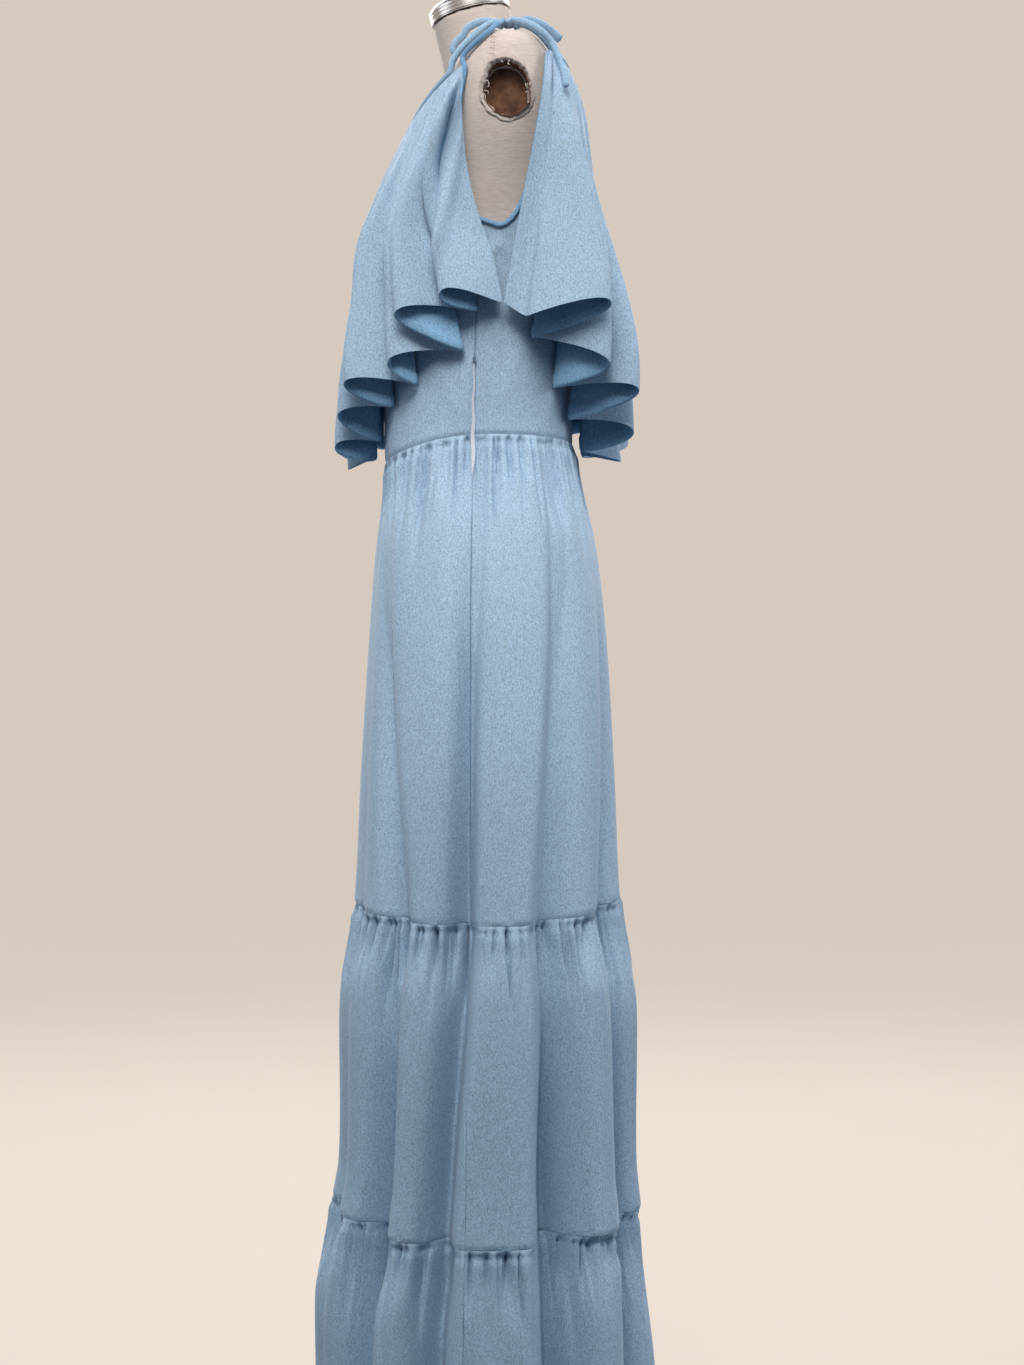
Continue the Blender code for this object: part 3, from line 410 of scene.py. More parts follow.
def crepe_material(name, colour, sheen, fleck=1.0):
    """Pebbled double knit: heathered flecks, a grain that runs down the cloth and a soft nap."""
    crepe = Surface(name, colour, 0.80)
    pebble = crepe.noise(880.0, 2.5, 0.62, (1.0, 1.0, 0.55))
    wale = crepe.noise(700.0, 1.0, stretch=(1.0, 1.0, 0.18))
    patch = crepe.noise(9.0, 2.0)
    dark = tuple(part * (1.0 - DARK_FLECK * fleck) for part in colour)
    light = tuple(min(1.0, part * (1.0 + LIGHT_FLECK * fleck)) for part in colour)
    flecked = crepe.ramp(pebble, [(0.34, dark), (0.50, colour), (0.68, light)])
    waled = crepe.blend(flecked, light, wale, 0.42, 0.75, 0.38)
    worn = crepe.blend(waled, dark, patch, 0.40, 0.75, 0.16)
    relief = crepe.bump(wale, 0.30, 0.0005, Normal=crepe.bump(pebble, 0.55, 0.0007))
    return crepe.set(Base_Color=worn, Normal=relief, Sheen_Weight=sheen, Sheen_Roughness=0.45,
                     Sheen_Tint=(1.0, 0.95, 0.92, 1.0), Specular_IOR_Level=0.25)


def linen_material():
    """Plain weave with thick threads here and there, and faint stains."""
    linen = Surface("linen", (0.55, 0.475, 0.43), 0.92)
    weft = linen.noise(1.0, 2.0, stretch=(120.0, 120.0, 1300.0))
    warp = linen.noise(1.0, 2.0, stretch=(1100.0, 1100.0, 90.0))
    slub = linen.noise(1.0, 1.0, stretch=(30.0, 30.0, 420.0))
    stain = linen.noise(11.0, 3.0)
    colour = (0.63, 0.535, 0.48, 1.0)
    for other, source, low, high, amount in (((0.47, 0.395, 0.35), weft, 0.38, 0.66, 0.75),
                                             ((0.64, 0.56, 0.51), warp, 0.46, 0.74, 0.55),
                                             ((0.40, 0.335, 0.295), slub, 0.62, 0.80, 0.35),
                                             ((0.48, 0.395, 0.33), stain, 0.50, 0.80, 0.35)):
        colour = linen.blend(colour, other, source, low, high, amount)
    relief = linen.bump(warp, 0.25, 0.0004, Normal=linen.bump(weft, 0.35, 0.0005))
    return linen.set(Base_Color=colour, Normal=relief, Sheen_Weight=0.12)


def mottled_material(name, colour, other, roughness, scale, depth, metallic=0.0):
    """A surface whose colour and relief vary softly at one scale."""
    mottled = Surface(name, colour, roughness, metallic)
    cloud = mottled.noise(scale, 4.0, 0.6)
    return mottled.set(Base_Color=mottled.ramp(cloud, [(0.32, colour), (0.68, other)]),
                       Normal=mottled.bump(cloud, 0.3, depth))


def brushed_material(name, colour, roughness, stretch):
    """Metal with fine scratches one way and smudges that are less bright."""
    metal = Surface(name, colour, roughness, 1.0)
    scratch = metal.noise(1.0, 3.0, stretch=stretch)
    smudge = metal.noise(40.0, 3.0)
    smudged = metal.ramp(smudge, [(0.35, (roughness,) * 3), (0.75, (roughness + 0.14,) * 3)])
    return metal.set(Roughness=smudged, Normal=metal.bump(scratch, 0.08, 0.0002))


CREPE = (0.345, 0.475, 0.605)
# Reverse face of the crepe: partly the reverse's own duller colour, partly painted shade, darker and bluer
# because inner faces lie in the folds' shade.
CREPE_REVERSE_SHADE = (0.205, 0.385, 0.560)
CREPE_BINDING = (0.290, 0.440, 0.590)
# Darker copy of the binding for the armhole: painted shade, where the flounces shade it.
CREPE_BINDING_PAINTED_SHADE = (0.170, 0.320, 0.500)
surfaces = {
    "crepe": crepe_material("crepe", CREPE, 0.10),
    # The reverse surface is the crepe with painted shade.
    "reverse": crepe_material("crepe_reverse_painted_shade", CREPE_REVERSE_SHADE, 0.05),
    "binding": crepe_material("crepe_binding", CREPE_BINDING, 0.10, 0.8),
    # The armhole surface is the binding with painted shade.
    "armhole": crepe_material("crepe_binding_painted_shade", CREPE_BINDING_PAINTED_SHADE, 0.05, 0.8),
    "frayed": mottled_material("linen_frayed", (0.54, 0.465, 0.42), (0.44, 0.37, 0.33), 0.95, 500.0, 0.0008),
    "linen": linen_material(),
    "tape": mottled_material("zip_tape", (0.50, 0.53, 0.60), (0.60, 0.61, 0.66), 0.85, 900.0, 0.0004),
    "zip_metal": mottled_material("zip_metal", (0.06, 0.11, 0.19), (0.10, 0.16, 0.26), 0.35, 300.0, 0.0002,
                                  metallic=0.5),
    "board": mottled_material("board", (0.055, 0.020, 0.010), (0.20, 0.090, 0.045), 0.92, 90.0, 0.0015),
    "chrome": brushed_material("chrome", (0.46, 0.455, 0.46), 0.26, (30.0, 30.0, 900.0)),
    "steel": brushed_material("stand_steel", (0.56, 0.56, 0.57), 0.28, (900.0, 900.0, 20.0)),
    "enamel": mottled_material("stand_enamel", (0.035, 0.035, 0.037), (0.055, 0.055, 0.058), 0.42, 220.0,
                               0.0003),
}


# Building pieces

def finish_piece(made, node=None):
    """Let a piece ride on the body in place of the solid it names."""
    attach(made, "root")
    if node:
        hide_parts(node)


def repaint(node, surface):
    """Give a solid that is shown as it is its procedural surface."""
    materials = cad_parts[node].data.materials
    materials.clear()
    materials.append(surfaces[surface])


def mesh_object(name, points, faces, materials, face_materials=None, sharp=70.0):
    mesh = bpy.data.meshes.new(name)
    mesh.from_pydata(points.tolist(), [], faces)
    mesh.update()
    for surface in materials:
        mesh.materials.append(surface)
    if face_materials is not None:
        mesh.polygons.foreach_set("material_index", face_materials)
    mesh.shade_smooth()
    mesh.set_sharp_from_angle(angle=math.radians(sharp))
    made = bpy.data.objects.new(name, mesh)
    bpy.context.scene.collection.objects.link(made)
    return made


def grid_normals(grid):
    """The outward directions of a grid whose rows run down and columns clockwise from above."""
    def both_ways(axis):
        step = unit(np.diff(grid, axis=axis))
        first, last = np.take(step, [0], axis), np.take(step, [-1], axis)
        return np.concatenate([first, step], axis) + np.concatenate([step, last], axis)
    return unit(np.cross(both_ways(1), both_ways(0)))


def lengths_along(path):
    """How far along a path each of its points lies."""
    steps = np.linalg.norm(np.diff(path, axis=0), axis=-1)
    return np.concatenate([[0.0], np.cumsum(steps)])


def ring_faces(rings, count, inward=False, capped=True):
    """Faces that join rings of equal count into a tube, with a cap on each end."""
    index = np.arange(rings * count).reshape(rings, count)
    around = np.roll(index, -1, 1)
    corners, caps = (index[:-1], around[:-1], around[1:], index[1:]), [index[0, ::-1], index[-1]]
    if inward:
        corners, caps = (corners[0], *corners[:0:-1]), [cap[::-1] for cap in caps]
    faces = np.stack(corners, -1).reshape(-1, 4).tolist()
    return faces + [cap.tolist() for cap in caps] if capped else faces


def turned_rings(profile, steps):
    """Rings of points round the Z axis, one for each radius and height."""
    angle = np.arange(steps) / steps * math.tau
    circle = np.stack([np.cos(angle), np.sin(angle), 0.0 * angle], -1)
    return np.concatenate([circle * radius + (0.0, 0.0, height) for radius, height in profile])


def cloth_piece(node, grid, thickness=CLOTH, seam_inset=None, face="crepe", reverse="reverse"):
    """A closed wall of cloth. With a seam inset, the outermost columns only steer the seams beside them."""
    if seam_inset is not None:
        for edge, beside in ((1, 2), (-2, -3)):
            drawn_back = unit(grid[:, beside] - grid[:, edge]) * SEAM_GAP * 0.5
            grid[:, edge] += drawn_back - outward(grid[:, edge]) * seam_inset
    normals = grid_normals(grid)
    if seam_inset is not None:
        grid, normals = grid[:, 1:-1], normals[:, 1:-1]
    rows, columns = grid.shape[:2]
    thickness = np.broadcast_to(np.asarray(thickness, float).reshape(-1, 1, 1), (rows, 1, 1))
    points = np.concatenate([grid.reshape(-1, 3), (grid - normals * thickness).reshape(-1, 3)])
    offset = rows * columns
    index = np.arange(offset).reshape(rows, columns)
    quads = np.stack([index[:-1, :-1], index[:-1, 1:], index[1:, 1:], index[1:, :-1]], -1).reshape(-1, 4)
    border = np.concatenate([index[0], index[1:, -1], index[-1, -2::-1], index[-2:0:-1, 0]])
    ahead = np.roll(border, -1)
    rim = np.stack([ahead, border, border + offset, ahead + offset], -1)
    faces = np.concatenate([quads, quads[:, ::-1] + offset, rim])
    # Inner faces and rims take the reverse surface; for the crepe that one carries painted shade.
    kinds = np.concatenate([np.zeros(len(quads), int), np.ones(len(quads) + len(rim), int)])
    made = mesh_object(node + "_cloth", points, faces.tolist(), [surfaces[face], surfaces[reverse]], kinds)
    finish_piece(made, node)


def rope(name, path, width, height, surface, groove=0.0, sides=16, square_end=False):
    """A rolled strip along the path, with its own width across and height, and a lengthwise groove."""
    path = np.asarray(path, float)
    tangent = unit(np.gradient(path, axis=0))
    up = np.array([0.0, 0.0, 1.0])
    normals = [unit(up - tangent[0] * tangent[0].dot(up))]
    for direction in tangent[1:]:
        last = normals[-1]
        normals.append(unit(last - direction * direction.dot(last)))
    normals = np.array(normals)
    across = np.cross(tangent, normals)
    along = lengths_along(path)
    ends = np.minimum(along, along[-1] - along) / (SQUARE_END if square_end else 1.0)
    rounding = np.sqrt(np.clip(1.0 - (1.0 - np.clip(ends / height, 0, 1)) ** 2, ROPE_END, 1))
    angles = np.arange(sides) / sides * math.tau
    dent = 1.0 - groove * np.exp(-((angles - math.pi / 2) / GROOVE_WIDTH) ** 2)
    wide, high = ((size * rounding)[:, None, None] for size in (width, height))
    points = (path[:, None] + across[:, None] * (np.cos(angles) * dent)[:, None] * wide
              + normals[:, None] * (np.sin(angles) * dent)[:, None] * high)
    faces = ring_faces(len(path), sides)
    return mesh_object(name, points.reshape(-1, 3), faces, [surfaces[surface]], sharp=80.0)


# The skirt

def fold_value(fold, first, z, turn):
    """A fold's turn or depth at a height, read between the waist, the two seams and the hem."""
    heights = (waist_z(turn), SEAM_1_Z, SEAM_2_Z, HEM_Z)
    value = None
    for index in (2, 1, 0):
        share = np.clip((heights[index] - z) / (heights[index] - heights[index + 1]), 0.0, 1.0)
        if index > 0:
            share = smoothstep(share)
        here = mix(fold[first + index], fold[first + index + 1], share)
        value = here if value is None else np.where(z >= heights[index + 1], here, value)
    return value


def turn_difference(first, second):
    return (first - second + 180.0) % 360.0 - 180.0


def skirt_points(turn, z):
    """Points of the skirt's outer face with its main folds, before the gathers."""
    points = ring_points(SKIRT_SECTIONS, turn, z)
    depth = 0.0
    for fold in SKIRT_FOLDS:
        away = turn_difference(turn, fold_value(fold, 0, z, turn)) / fold[8]
        distance = np.abs(away) / (1.0 + fold[9] * np.tanh(away * FOLD_LEAN))
        rise = (np.hypot(distance, FOLD_FLOOR) - FOLD_FLOOR) * FOLD_RISE
        depth = depth + fold_value(fold, 4, z, turn) * np.exp(-rise)
    inward = unit(points * np.array([1.0, FOLD_DRAW, 0.0]))
    return points - inward * depth[..., None]


def seam_height(name, turn):
    if name == "waist":
        return waist_z(turn)
    height, front, back, right = SEAMS[name]
    deep = np.sin(np.radians(turn))
    return height + np.where(deep > 0, back, front) * deep ** 2 + right * (1.0 - np.cos(np.radians(turn))) / 2


def even_turns(z, count):
    """Turns that part the skirt at a height into equal lengths, from the right seam round the back."""
    parts = []
    for start, end in ((180.0 - SIDE_SEAM_TURN, SIDE_SEAM_TURN), (SIDE_SEAM_TURN, -180.0 - SIDE_SEAM_TURN)):
        turns = np.linspace(start, end, 721)
        reach = lengths_along(ring_points(SKIRT_SECTIONS, turns, z))
        parts.append(np.interp(np.linspace(0.0, reach[-1], count // 2 + 1)[:-1], reach, turns))
    return np.concatenate(parts)


def gather_relief(place, count, fall, fade, seed, wide=1.0):
    """Creases that open out below a seam, each with its own place, depth and length."""
    random = np.random.default_rng(seed)
    relief = np.zeros(np.broadcast(place, fall).shape)
    for index in range(count):
        centre = index + 0.5 + random.uniform(-0.30, 0.30)
        width = random.uniform(0.10, 0.20) * wide
        size = random.uniform(0.5, 1.35)
        length = fade * random.uniform(0.35, 1.30)
        lean = random.uniform(-0.5, 0.5)
        away = (place - centre - lean * fall / fade + count / 2) % count - count / 2
        opening = width * (1.0 + 0.7 * np.clip(fall / length, 0.0, 1.0))
        relief -= size * (1.0 + (away / opening) ** 2) ** -1.5 * smoothstep(1.15 - fall / length)
    return relief


def soft_waves(place, z, seed, amount):
    """Slow uneven swells, so that no stretch of cloth is quite smooth."""
    random = np.random.default_rng(seed)
    swell = 0.0
    for waves in (3, 5, 8, 13):
        swell = swell + np.sin(place * waves * math.tau + random.uniform(0, 6.3)
                               + z * random.uniform(-9.0, 9.0)) * random.uniform(0.5, 1.0) / math.sqrt(waves)
    return swell * amount


def row_shares(rows, length, top_zone):
    """Shares of the way down, closer together at the top seam and at the lower edge."""
    low = length - SEAM_ZONE
    places = [np.linspace(0.0, SEAM_ZONE, 8), np.linspace(0.015, top_zone, int(rows * 0.45)),
              np.linspace(top_zone, low, int(rows * 0.38))[1:], np.linspace(low, length, 7)[1:]]
    return np.concatenate(places) / length


def pinch(distance, reach):
    """How far a seam draws the cloth beside it in."""
    return SEAM_PINCH * np.exp(-(distance / reach) ** 2)


def tier_swing(tier, seed, place, z, fall, rise):
    """How far a tier's cloth stands out: creases and a bulge below its seam, slow waves and pinched seams."""
    _, _, bottom, gathers, puckers, depth, fade, _ = tier
    creases = gather_relief(place, gathers, fall, fade, seed + 4, 1.7)
    fine_creases = gather_relief(place * puckers / gathers, puckers, fall, 0.095, seed + 84, 1.15)
    swing = (1.8 * depth * creases + FINE_CREASE_DEPTH * fine_creases) * smoothstep(fall / 0.010 + 0.10)
    bulge = 0.60 * depth * np.exp(-fall / fade) + FINE_BULGE * np.exp(-fall / 0.060)
    swing = swing + bulge * smoothstep(fall / 0.015)
    swing = swing + soft_waves(place / gathers, z, seed + 31, 0.0014) * smoothstep(fall / 0.10)
    swing = swing - pinch(fall, PINCH_BELOW)
    if bottom != "hem":
        pucker = gather_relief(place, gathers, rise, 0.030, seed + 15)
        swing = swing - pinch(rise, PINCH_ABOVE) + 0.0010 * pucker * smoothstep(rise / 0.003)
    return swing


def build_skirt():
    for seed, tier in enumerate(TIERS):
        name, top, bottom, gathers, _, _, _, rows = tier
        middle = 0.5 * (seam_height(top, 0.0) + seam_height(bottom, 0.0))
        turn = even_turns(float(middle), gathers * GATHER_STEPS)[None, :]
        count = turn.shape[1]
        place = (np.arange(count) / GATHER_STEPS)[None, :]
        top_z = seam_height(top, turn) - SEAM_GAP / 2
        bottom_z = seam_height(bottom, turn) + (0.0 if bottom == "hem" else SEAM_GAP / 2)
        share = row_shares(rows, float((top_z - bottom_z).mean()), 0.10)[:, None]
        z = mix(top_z, bottom_z, share)
        points = skirt_points(turn, z)
        points = np.where((z > HIP_REST_Z)[..., None], clear_of_form(points, SKIRT_CLEARANCE), points)
        swing = tier_swing(tier, seed, place, z, top_z - z, z - bottom_z)
        half = count // 2
        column = np.arange(count)
        from_seam = np.minimum(column % half, (-column) % half)[None, :]
        steadied = np.clip(from_seam / (6.0 if name == "tier_1" else 2.0) + 0.2, 0.0, 1.0)
        swing = swing * steadied - SIDE_ROLL * np.exp(-(from_seam / 0.8) ** 2)
        away = outward(points)
        points = points + away * swing[..., None]
        if name == "tier_1":
            points = clear_of_form(points + away * zip_lap(turn, z)[..., None], CLOTH + BACK_CLEARANCE)
        thickness = np.full(len(share), CLOTH)
        if bottom == "hem":
            thickness[-HEM_ROWS:] = HEM_THICKNESS
        for word, first in (("_back", 0), ("_front", half)):
            columns = (first + np.arange(-1, half + 2)) % count
            cloth_piece(name + word, points[:, columns], thickness, 0.0)


def zip_lap(turn, z):
    """The lapped placket: the front panel's edge stands proud beside the zip."""
    away = turn_difference(turn, SIDE_SEAM_TURN)
    lap = np.where(away <= 0.01, np.exp(-((away + 2.6) / 1.5) ** 2), 0.0)
    reach = smoothstep((z - ZIP_BOTTOM_Z + 0.02) / 0.05) * smoothstep((ZIP_TOP_Z + 0.015 - z) / 0.03)
    return LAP_HEIGHT * lap * reach


# The bodice

def bodice_grid(edge, neckline, columns, rows):
    """The panel from the left side seam to the right one, rows from top to bottom."""
    corner = sum(row[2] is not None for row in edge)
    waist, top = (np.array([row[column] for row in edge], float) for column in (0, 1))
    heights = np.array([neckline_z(neckline, turn) - NECK_DROP if height is None else height
                        for _, turn, height in edge])
    index = np.arange(float(len(edge)))
    place = np.linspace(0.0, len(edge) - 1.0, columns)
    waist_turn = curve_through(index, waist, place)
    top_turn = np.where(place <= corner, curve_through(index[:corner + 1], top[:corner + 1], place),
                        curve_through(index[corner:], top[corner:], place))
    armhole = curve_through(index[:corner + 1], heights[:corner + 1], place)
    top_z = np.where(place <= corner, armhole, neckline_z(neckline, top_turn) - NECK_DROP)
    across = math.copysign(180.0, neckline["centre"])
    waist_turn = np.concatenate([waist_turn, across - waist_turn[-2::-1]])
    top_turn = np.concatenate([top_turn, across - top_turn[-2::-1]])
    top_z = np.concatenate([top_z, top_z[-2::-1]])
    share = 1.0 - row_shares(rows, 0.3, 0.05)[:, None]
    low_z = waist_z(waist_turn) + SEAM_GAP / 2
    return mix(waist_turn, top_turn, share), mix(low_z, top_z, share), low_z


BODICE_CREASES = [
    # turn and height where it starts and ends, height of the fold, half width in metres
    (1.0, 1.262, 6.0, 1.170, 0.0018, 0.0060),
    (-10.0, 1.235, 3.0, 1.262, 0.0013, 0.0050),
    (14.0, 1.245, 3.0, 1.268, 0.0013, 0.0050),
    (-22.0, 1.215, -6.0, 1.105, 0.0010, 0.0060),
    (-34.0, 1.190, -9.0, 1.098, 0.0012, 0.0080),
    (24.0, 1.200, 10.0, 1.120, 0.0008, 0.0090),
    (178.0, 1.262, 172.0, 1.165, 0.0016, 0.0060),
    (192.0, 1.225, 186.0, 1.110, 0.0012, 0.0070),
    (60.0, 1.160, 40.0, 1.105, 0.0010, 0.0090),
    (120.0, 1.165, 145.0, 1.108, 0.0010, 0.0090),
]


def crease_relief(turn, z):
    """Soft ridges along the bodice's creases."""
    relief = 0.0
    degree = math.radians(1.0) * WAIST_RADIUS
    for start_turn, start_z, end_turn, end_z, height, half_width in BODICE_CREASES:
        x, y = turn_difference(turn, start_turn) * degree, z - start_z
        run = np.array([(end_turn - start_turn) * degree, end_z - start_z])
        length = np.linalg.norm(run)
        run = run / length
        along = (x * run[0] + y * run[1]) / length
        aside = (x * run[1] - y * run[0]) / half_width
        ends = smoothstep(along * 3.0 + 0.5) * smoothstep((1.0 - along) * 3.0 + 0.5)
        relief = relief + height * np.exp(-aside ** 2) * ends
    return relief


def build_bodice():
    grids = {}
    for word, edge, _, neckline, order in PANELS:
        turn, z, low_z = bodice_grid(edge, neckline, columns=81, rows=74)
        points = round_form(turn, z, BODICE_EASE)
        rise = z - low_z
        place = np.linspace(0, WAIST_PUCKERS, turn.shape[1])[None, :]
        pull = gather_relief(place, WAIST_PUCKERS, rise, 0.030, 77)
        swing = crease_relief(turn, z) - pinch(rise, PINCH_ABOVE) + 0.0006 * pull
        swing = swing + soft_waves(np.radians(turn) / math.tau, z, 5, 0.0006) + zip_lap(turn, z)
        points = points + outward(points - np.array([0.0, 0.01, 0.0])) * swing[..., None]
        grids[word] = points[:, ::order]
    for word, other in (("front", "back"), ("back", "front")):
        grid = np.concatenate([grids[other][:, -2:-1], grids[word], grids[other][:, 1:2]], 1)
        cloth_piece("bodice_" + word, grid, CLOTH, BODICE_SEAM_INSET)


# The flounces

def hem_turns(turns):
    """The hem's turning points right across, the right half being the left one with uneven depths."""
    other_half = []
    for index in range(len(turns) - 2, -1, -1):
        x, y, z, roundness, rise = turns[index]
        depth = RIGHT_FOLD_DEPTHS[index]
        if index > 0 and depth != 1.0:
            x, y = mix(turns[index + 1][0], x, depth), mix(turns[index + 1][1], y, depth)
        other_half.append((-x, y, z, roundness, -rise))
    return list(turns) + other_half


def hem_path(turns):
    """The wavy hem as points on a curve that turns round each fold, with each point's share along it."""
    places = np.array([turn[:3] for turn in turns])
    before = np.concatenate([places[:1], places[:-1]])
    after = np.concatenate([places[1:], places[-1:]])
    fold = places - (before + after) / 2
    lateral = unit(np.stack([-fold[:, 1], fold[:, 0], 0.0 * fold[:, 0]], -1))
    lateral *= np.sign((lateral * (after - before)).sum(-1, keepdims=True))
    leads = lateral * np.array([turn[3] for turn in turns])[:, None] * HEM_LEAD
    leads[:, 2] = [turn[4] for turn in turns]
    leads[0], leads[-1] = (after - before)[0] * 0.5, (after - before)[-1] * 0.5
    path, along = [], []
    for index in range(len(places) - 1):
        last = index == len(places) - 2
        share = np.arange(FLOUNCE_STEPS + last)[:, None] / FLOUNCE_STEPS
        path.append(hermite(places[index], places[index + 1], leads[index], leads[index + 1], share))
        along.append((index + share[:, 0]) / (len(places) - 1))
    return np.concatenate(path), np.concatenate(along)


FLOUNCE_CREASES = {
    # how far along the hem's turns it meets the hem and the neckline, depth, half width in turns, start, end
    "front": [
        (1.42, 0.20, 0.0190, 0.13, 0.08, 0.95),
        (3.45, 3.00, 0.0040, 0.16, 0.35, 1.10),
        (5.45, 5.10, 0.0034, 0.18, 0.45, 1.10),
        (7.45, 7.20, 0.0034, 0.18, 0.50, 1.10),
        (0.55, 0.40, 0.0012, 0.14, 0.10, 0.80),
        (2.50, 1.90, 0.0030, 0.16, 0.02, 0.70),
        (4.40, 3.80, 0.0030, 0.16, 0.01, 0.60),
        (6.60, 6.00, 0.0030, 0.18, 0.01, 0.50),
        (9.50, 9.00, 0.0030, 0.20, 0.04, 0.70),
    ],
    "back": [
        (2.45, 1.90, 0.0036, 0.16, 0.25, 1.10),
        (4.50, 4.10, 0.0034, 0.18, 0.40, 1.10),
        (6.50, 6.20, 0.0030, 0.18, 0.45, 1.10),
        (1.35, 1.00, 0.0020, 0.18, 0.02, 0.70),
        (3.40, 2.80, 0.0026, 0.18, 0.01, 0.60),
        (5.50, 5.00, 0.0026, 0.18, 0.01, 0.50),
        (8.40, 7.90, 0.0026, 0.20, 0.06, 0.70),
    ],
}


def flounce_creases(word, turns, along, down):
    """Creases that run down a flounce beside its folds, alike but not equal on both halves."""
    relief = 0.0
    last = len(turns) - 1
    for low, high, depth, half_width, start, end in FLOUNCE_CREASES[word]:
        place = mix(high, low, down)
        for centre, share in ((place, 1.0), (2 * last - place + 0.08, 0.85)):
            aside = (along * 2 * last - centre) / (half_width * (1.4 - 0.4 * down))
            length = smoothstep((down - start) / 0.12 + 0.3) * smoothstep((end - down) / 0.2)
            ridges = np.exp(-(aside - 2.0) ** 2) + np.exp(-(aside + 2.0) ** 2)
            relief = relief + depth * share * length * (0.4 * ridges - np.exp(-aside ** 2))
    return relief


def flounce_points(neckline, hem, along, down):
    """Points of a flounce: on the body at the neckline, swinging out to the hem's folds."""
    centre = neckline["centre"]
    across = math.copysign(180.0, centre)
    half_share = 1.0 - np.abs(along * 2.0 - 1.0)
    top_turn, hem_turn = mix(neckline["end"], centre, half_share), mix(neckline["join"], centre, half_share)
    turn = mix(top_turn, hem_turn, down ** neckline["drift"])
    right = along > 0.5
    turn, top_turn, hem_turn = (np.where(right, across - each, each) for each in (turn, top_turn, hem_turn))
    top_z = neckline_z(neckline, top_turn) - NECK_DROP
    base = round_form(turn, mix(top_z, hem[:, 2], down), FLOUNCE_EASE)
    swing = hem - round_form(hem_turn, hem[:, 2], FLOUNCE_EASE)
    start = mix(0.0, 0.15, smoothstep(half_share * 1.5))
    level = (down - start) / (1.0 - start)
    share = mix(np.maximum(level, 0.0) ** 0.9, smoothstep(level), smoothstep(half_share * 2.0))
    return clear_of_form(base + swing * share[..., None], FLOUNCE_EASE)


def build_flounces():
    rows = np.concatenate([np.linspace(0.0, 0.16, 16), np.linspace(0.18, 0.955, 38),
                           (0.962, 0.970, 0.980, 0.990, 1.0)])
    thickness = np.where(rows < FLOUNCE_HEM, CLOTH, FLOUNCE_HEM_THICKNESS)
    thickness[-1] = CLOTH
    down = rows[:, None]
    fall = down * FLOUNCE_LENGTH
    for seed, (word, _, turns, neckline, order) in enumerate(PANELS):
        hem, along = hem_path(hem_turns(turns))
        points = flounce_points(neckline, hem, along, down)
        gathers = gather_relief(along[None, :] * FLOUNCE_GATHERS, FLOUNCE_GATHERS, fall, 0.090, seed + 51,
                                1.5)
        swing = FLOUNCE_GATHER_DEPTH * (gathers + 0.5) * smoothstep(fall / 0.008) * np.exp(-fall / 0.11)
        swing = swing * smoothstep(np.minimum(along, 1.0 - along) * 30.0)
        waves = soft_waves(along[None, :], down * 0.3, seed + 61, 0.0009) * smoothstep(down * 3)
        swing = swing + waves + flounce_creases(word, turns, along[None, :], down)
        normals = grid_normals(points[:, ::order])[:, ::order]
        points = clear_of_form(points + normals * swing[..., None], BODICE_EASE + CLOTH + BACK_CLEARANCE)
        cloth_piece("flounce_" + word, points[:, ::order], thickness)


# Ties, bindings and the zip

def neckline_path(neckline, count):
    turn = np.linspace(neckline["tie"], math.copysign(180.0, neckline["centre"]) - neckline["tie"], count + 1)
    z = neckline_z(neckline, turn) + TIE_RADIUS + SEAM_GAP * 3
    return round_form(turn, z, (BODICE_EASE + FLOUNCE_EASE) / 2)


def mirrored(points, side):
    return np.asarray(points, float) * np.array([side, 1.0, 1.0])


def knot_ends(across, along, up):
    """Where a tie leaves the knot squarely in a direction, and a point a little farther on."""
    direction = unit(np.array([across, along, up]))
    half = np.array(KNOT_HALF)
    reach = direction * half ** 2 / np.linalg.norm(direction * half)
    start = np.array(KNOT_CENTRE) + reach + direction * SEAM_GAP
    return [start, start + direction * SEAM_GAP * 10]


def armhole_path(steps):
    """The centre line of the left armhole's bound edge, from the back corner down and up to the front one."""
    tops = []
    for _, table, _, neckline, _ in PANELS:
        corner = sum(row[2] is not None for row in table)
        turn, z, _ = bodice_grid(table, neckline, (len(table) - 1) * steps + 1, 20)
        tops.append(round_form(turn[0], z[0], BODICE_EASE)[:corner * steps + 1])
    edge = np.concatenate([tops[1][::-1], tops[0][1:]])[int(steps * 0.7):]
    aside = unit(np.cross(np.gradient(edge, axis=0), outward(edge)))
    return clear_of_form(edge + aside * (BINDING_RADIUS + SEAM_GAP), BODICE_EASE)


def on_flounce(turn, z, lift):
    return round_form(turn, z, FLOUNCE_EASE + TIE_RADIUS + lift)


def tie_path(points):
    return np.concatenate([[points[0]], smooth_path(points[1:], TIE_STEPS)])


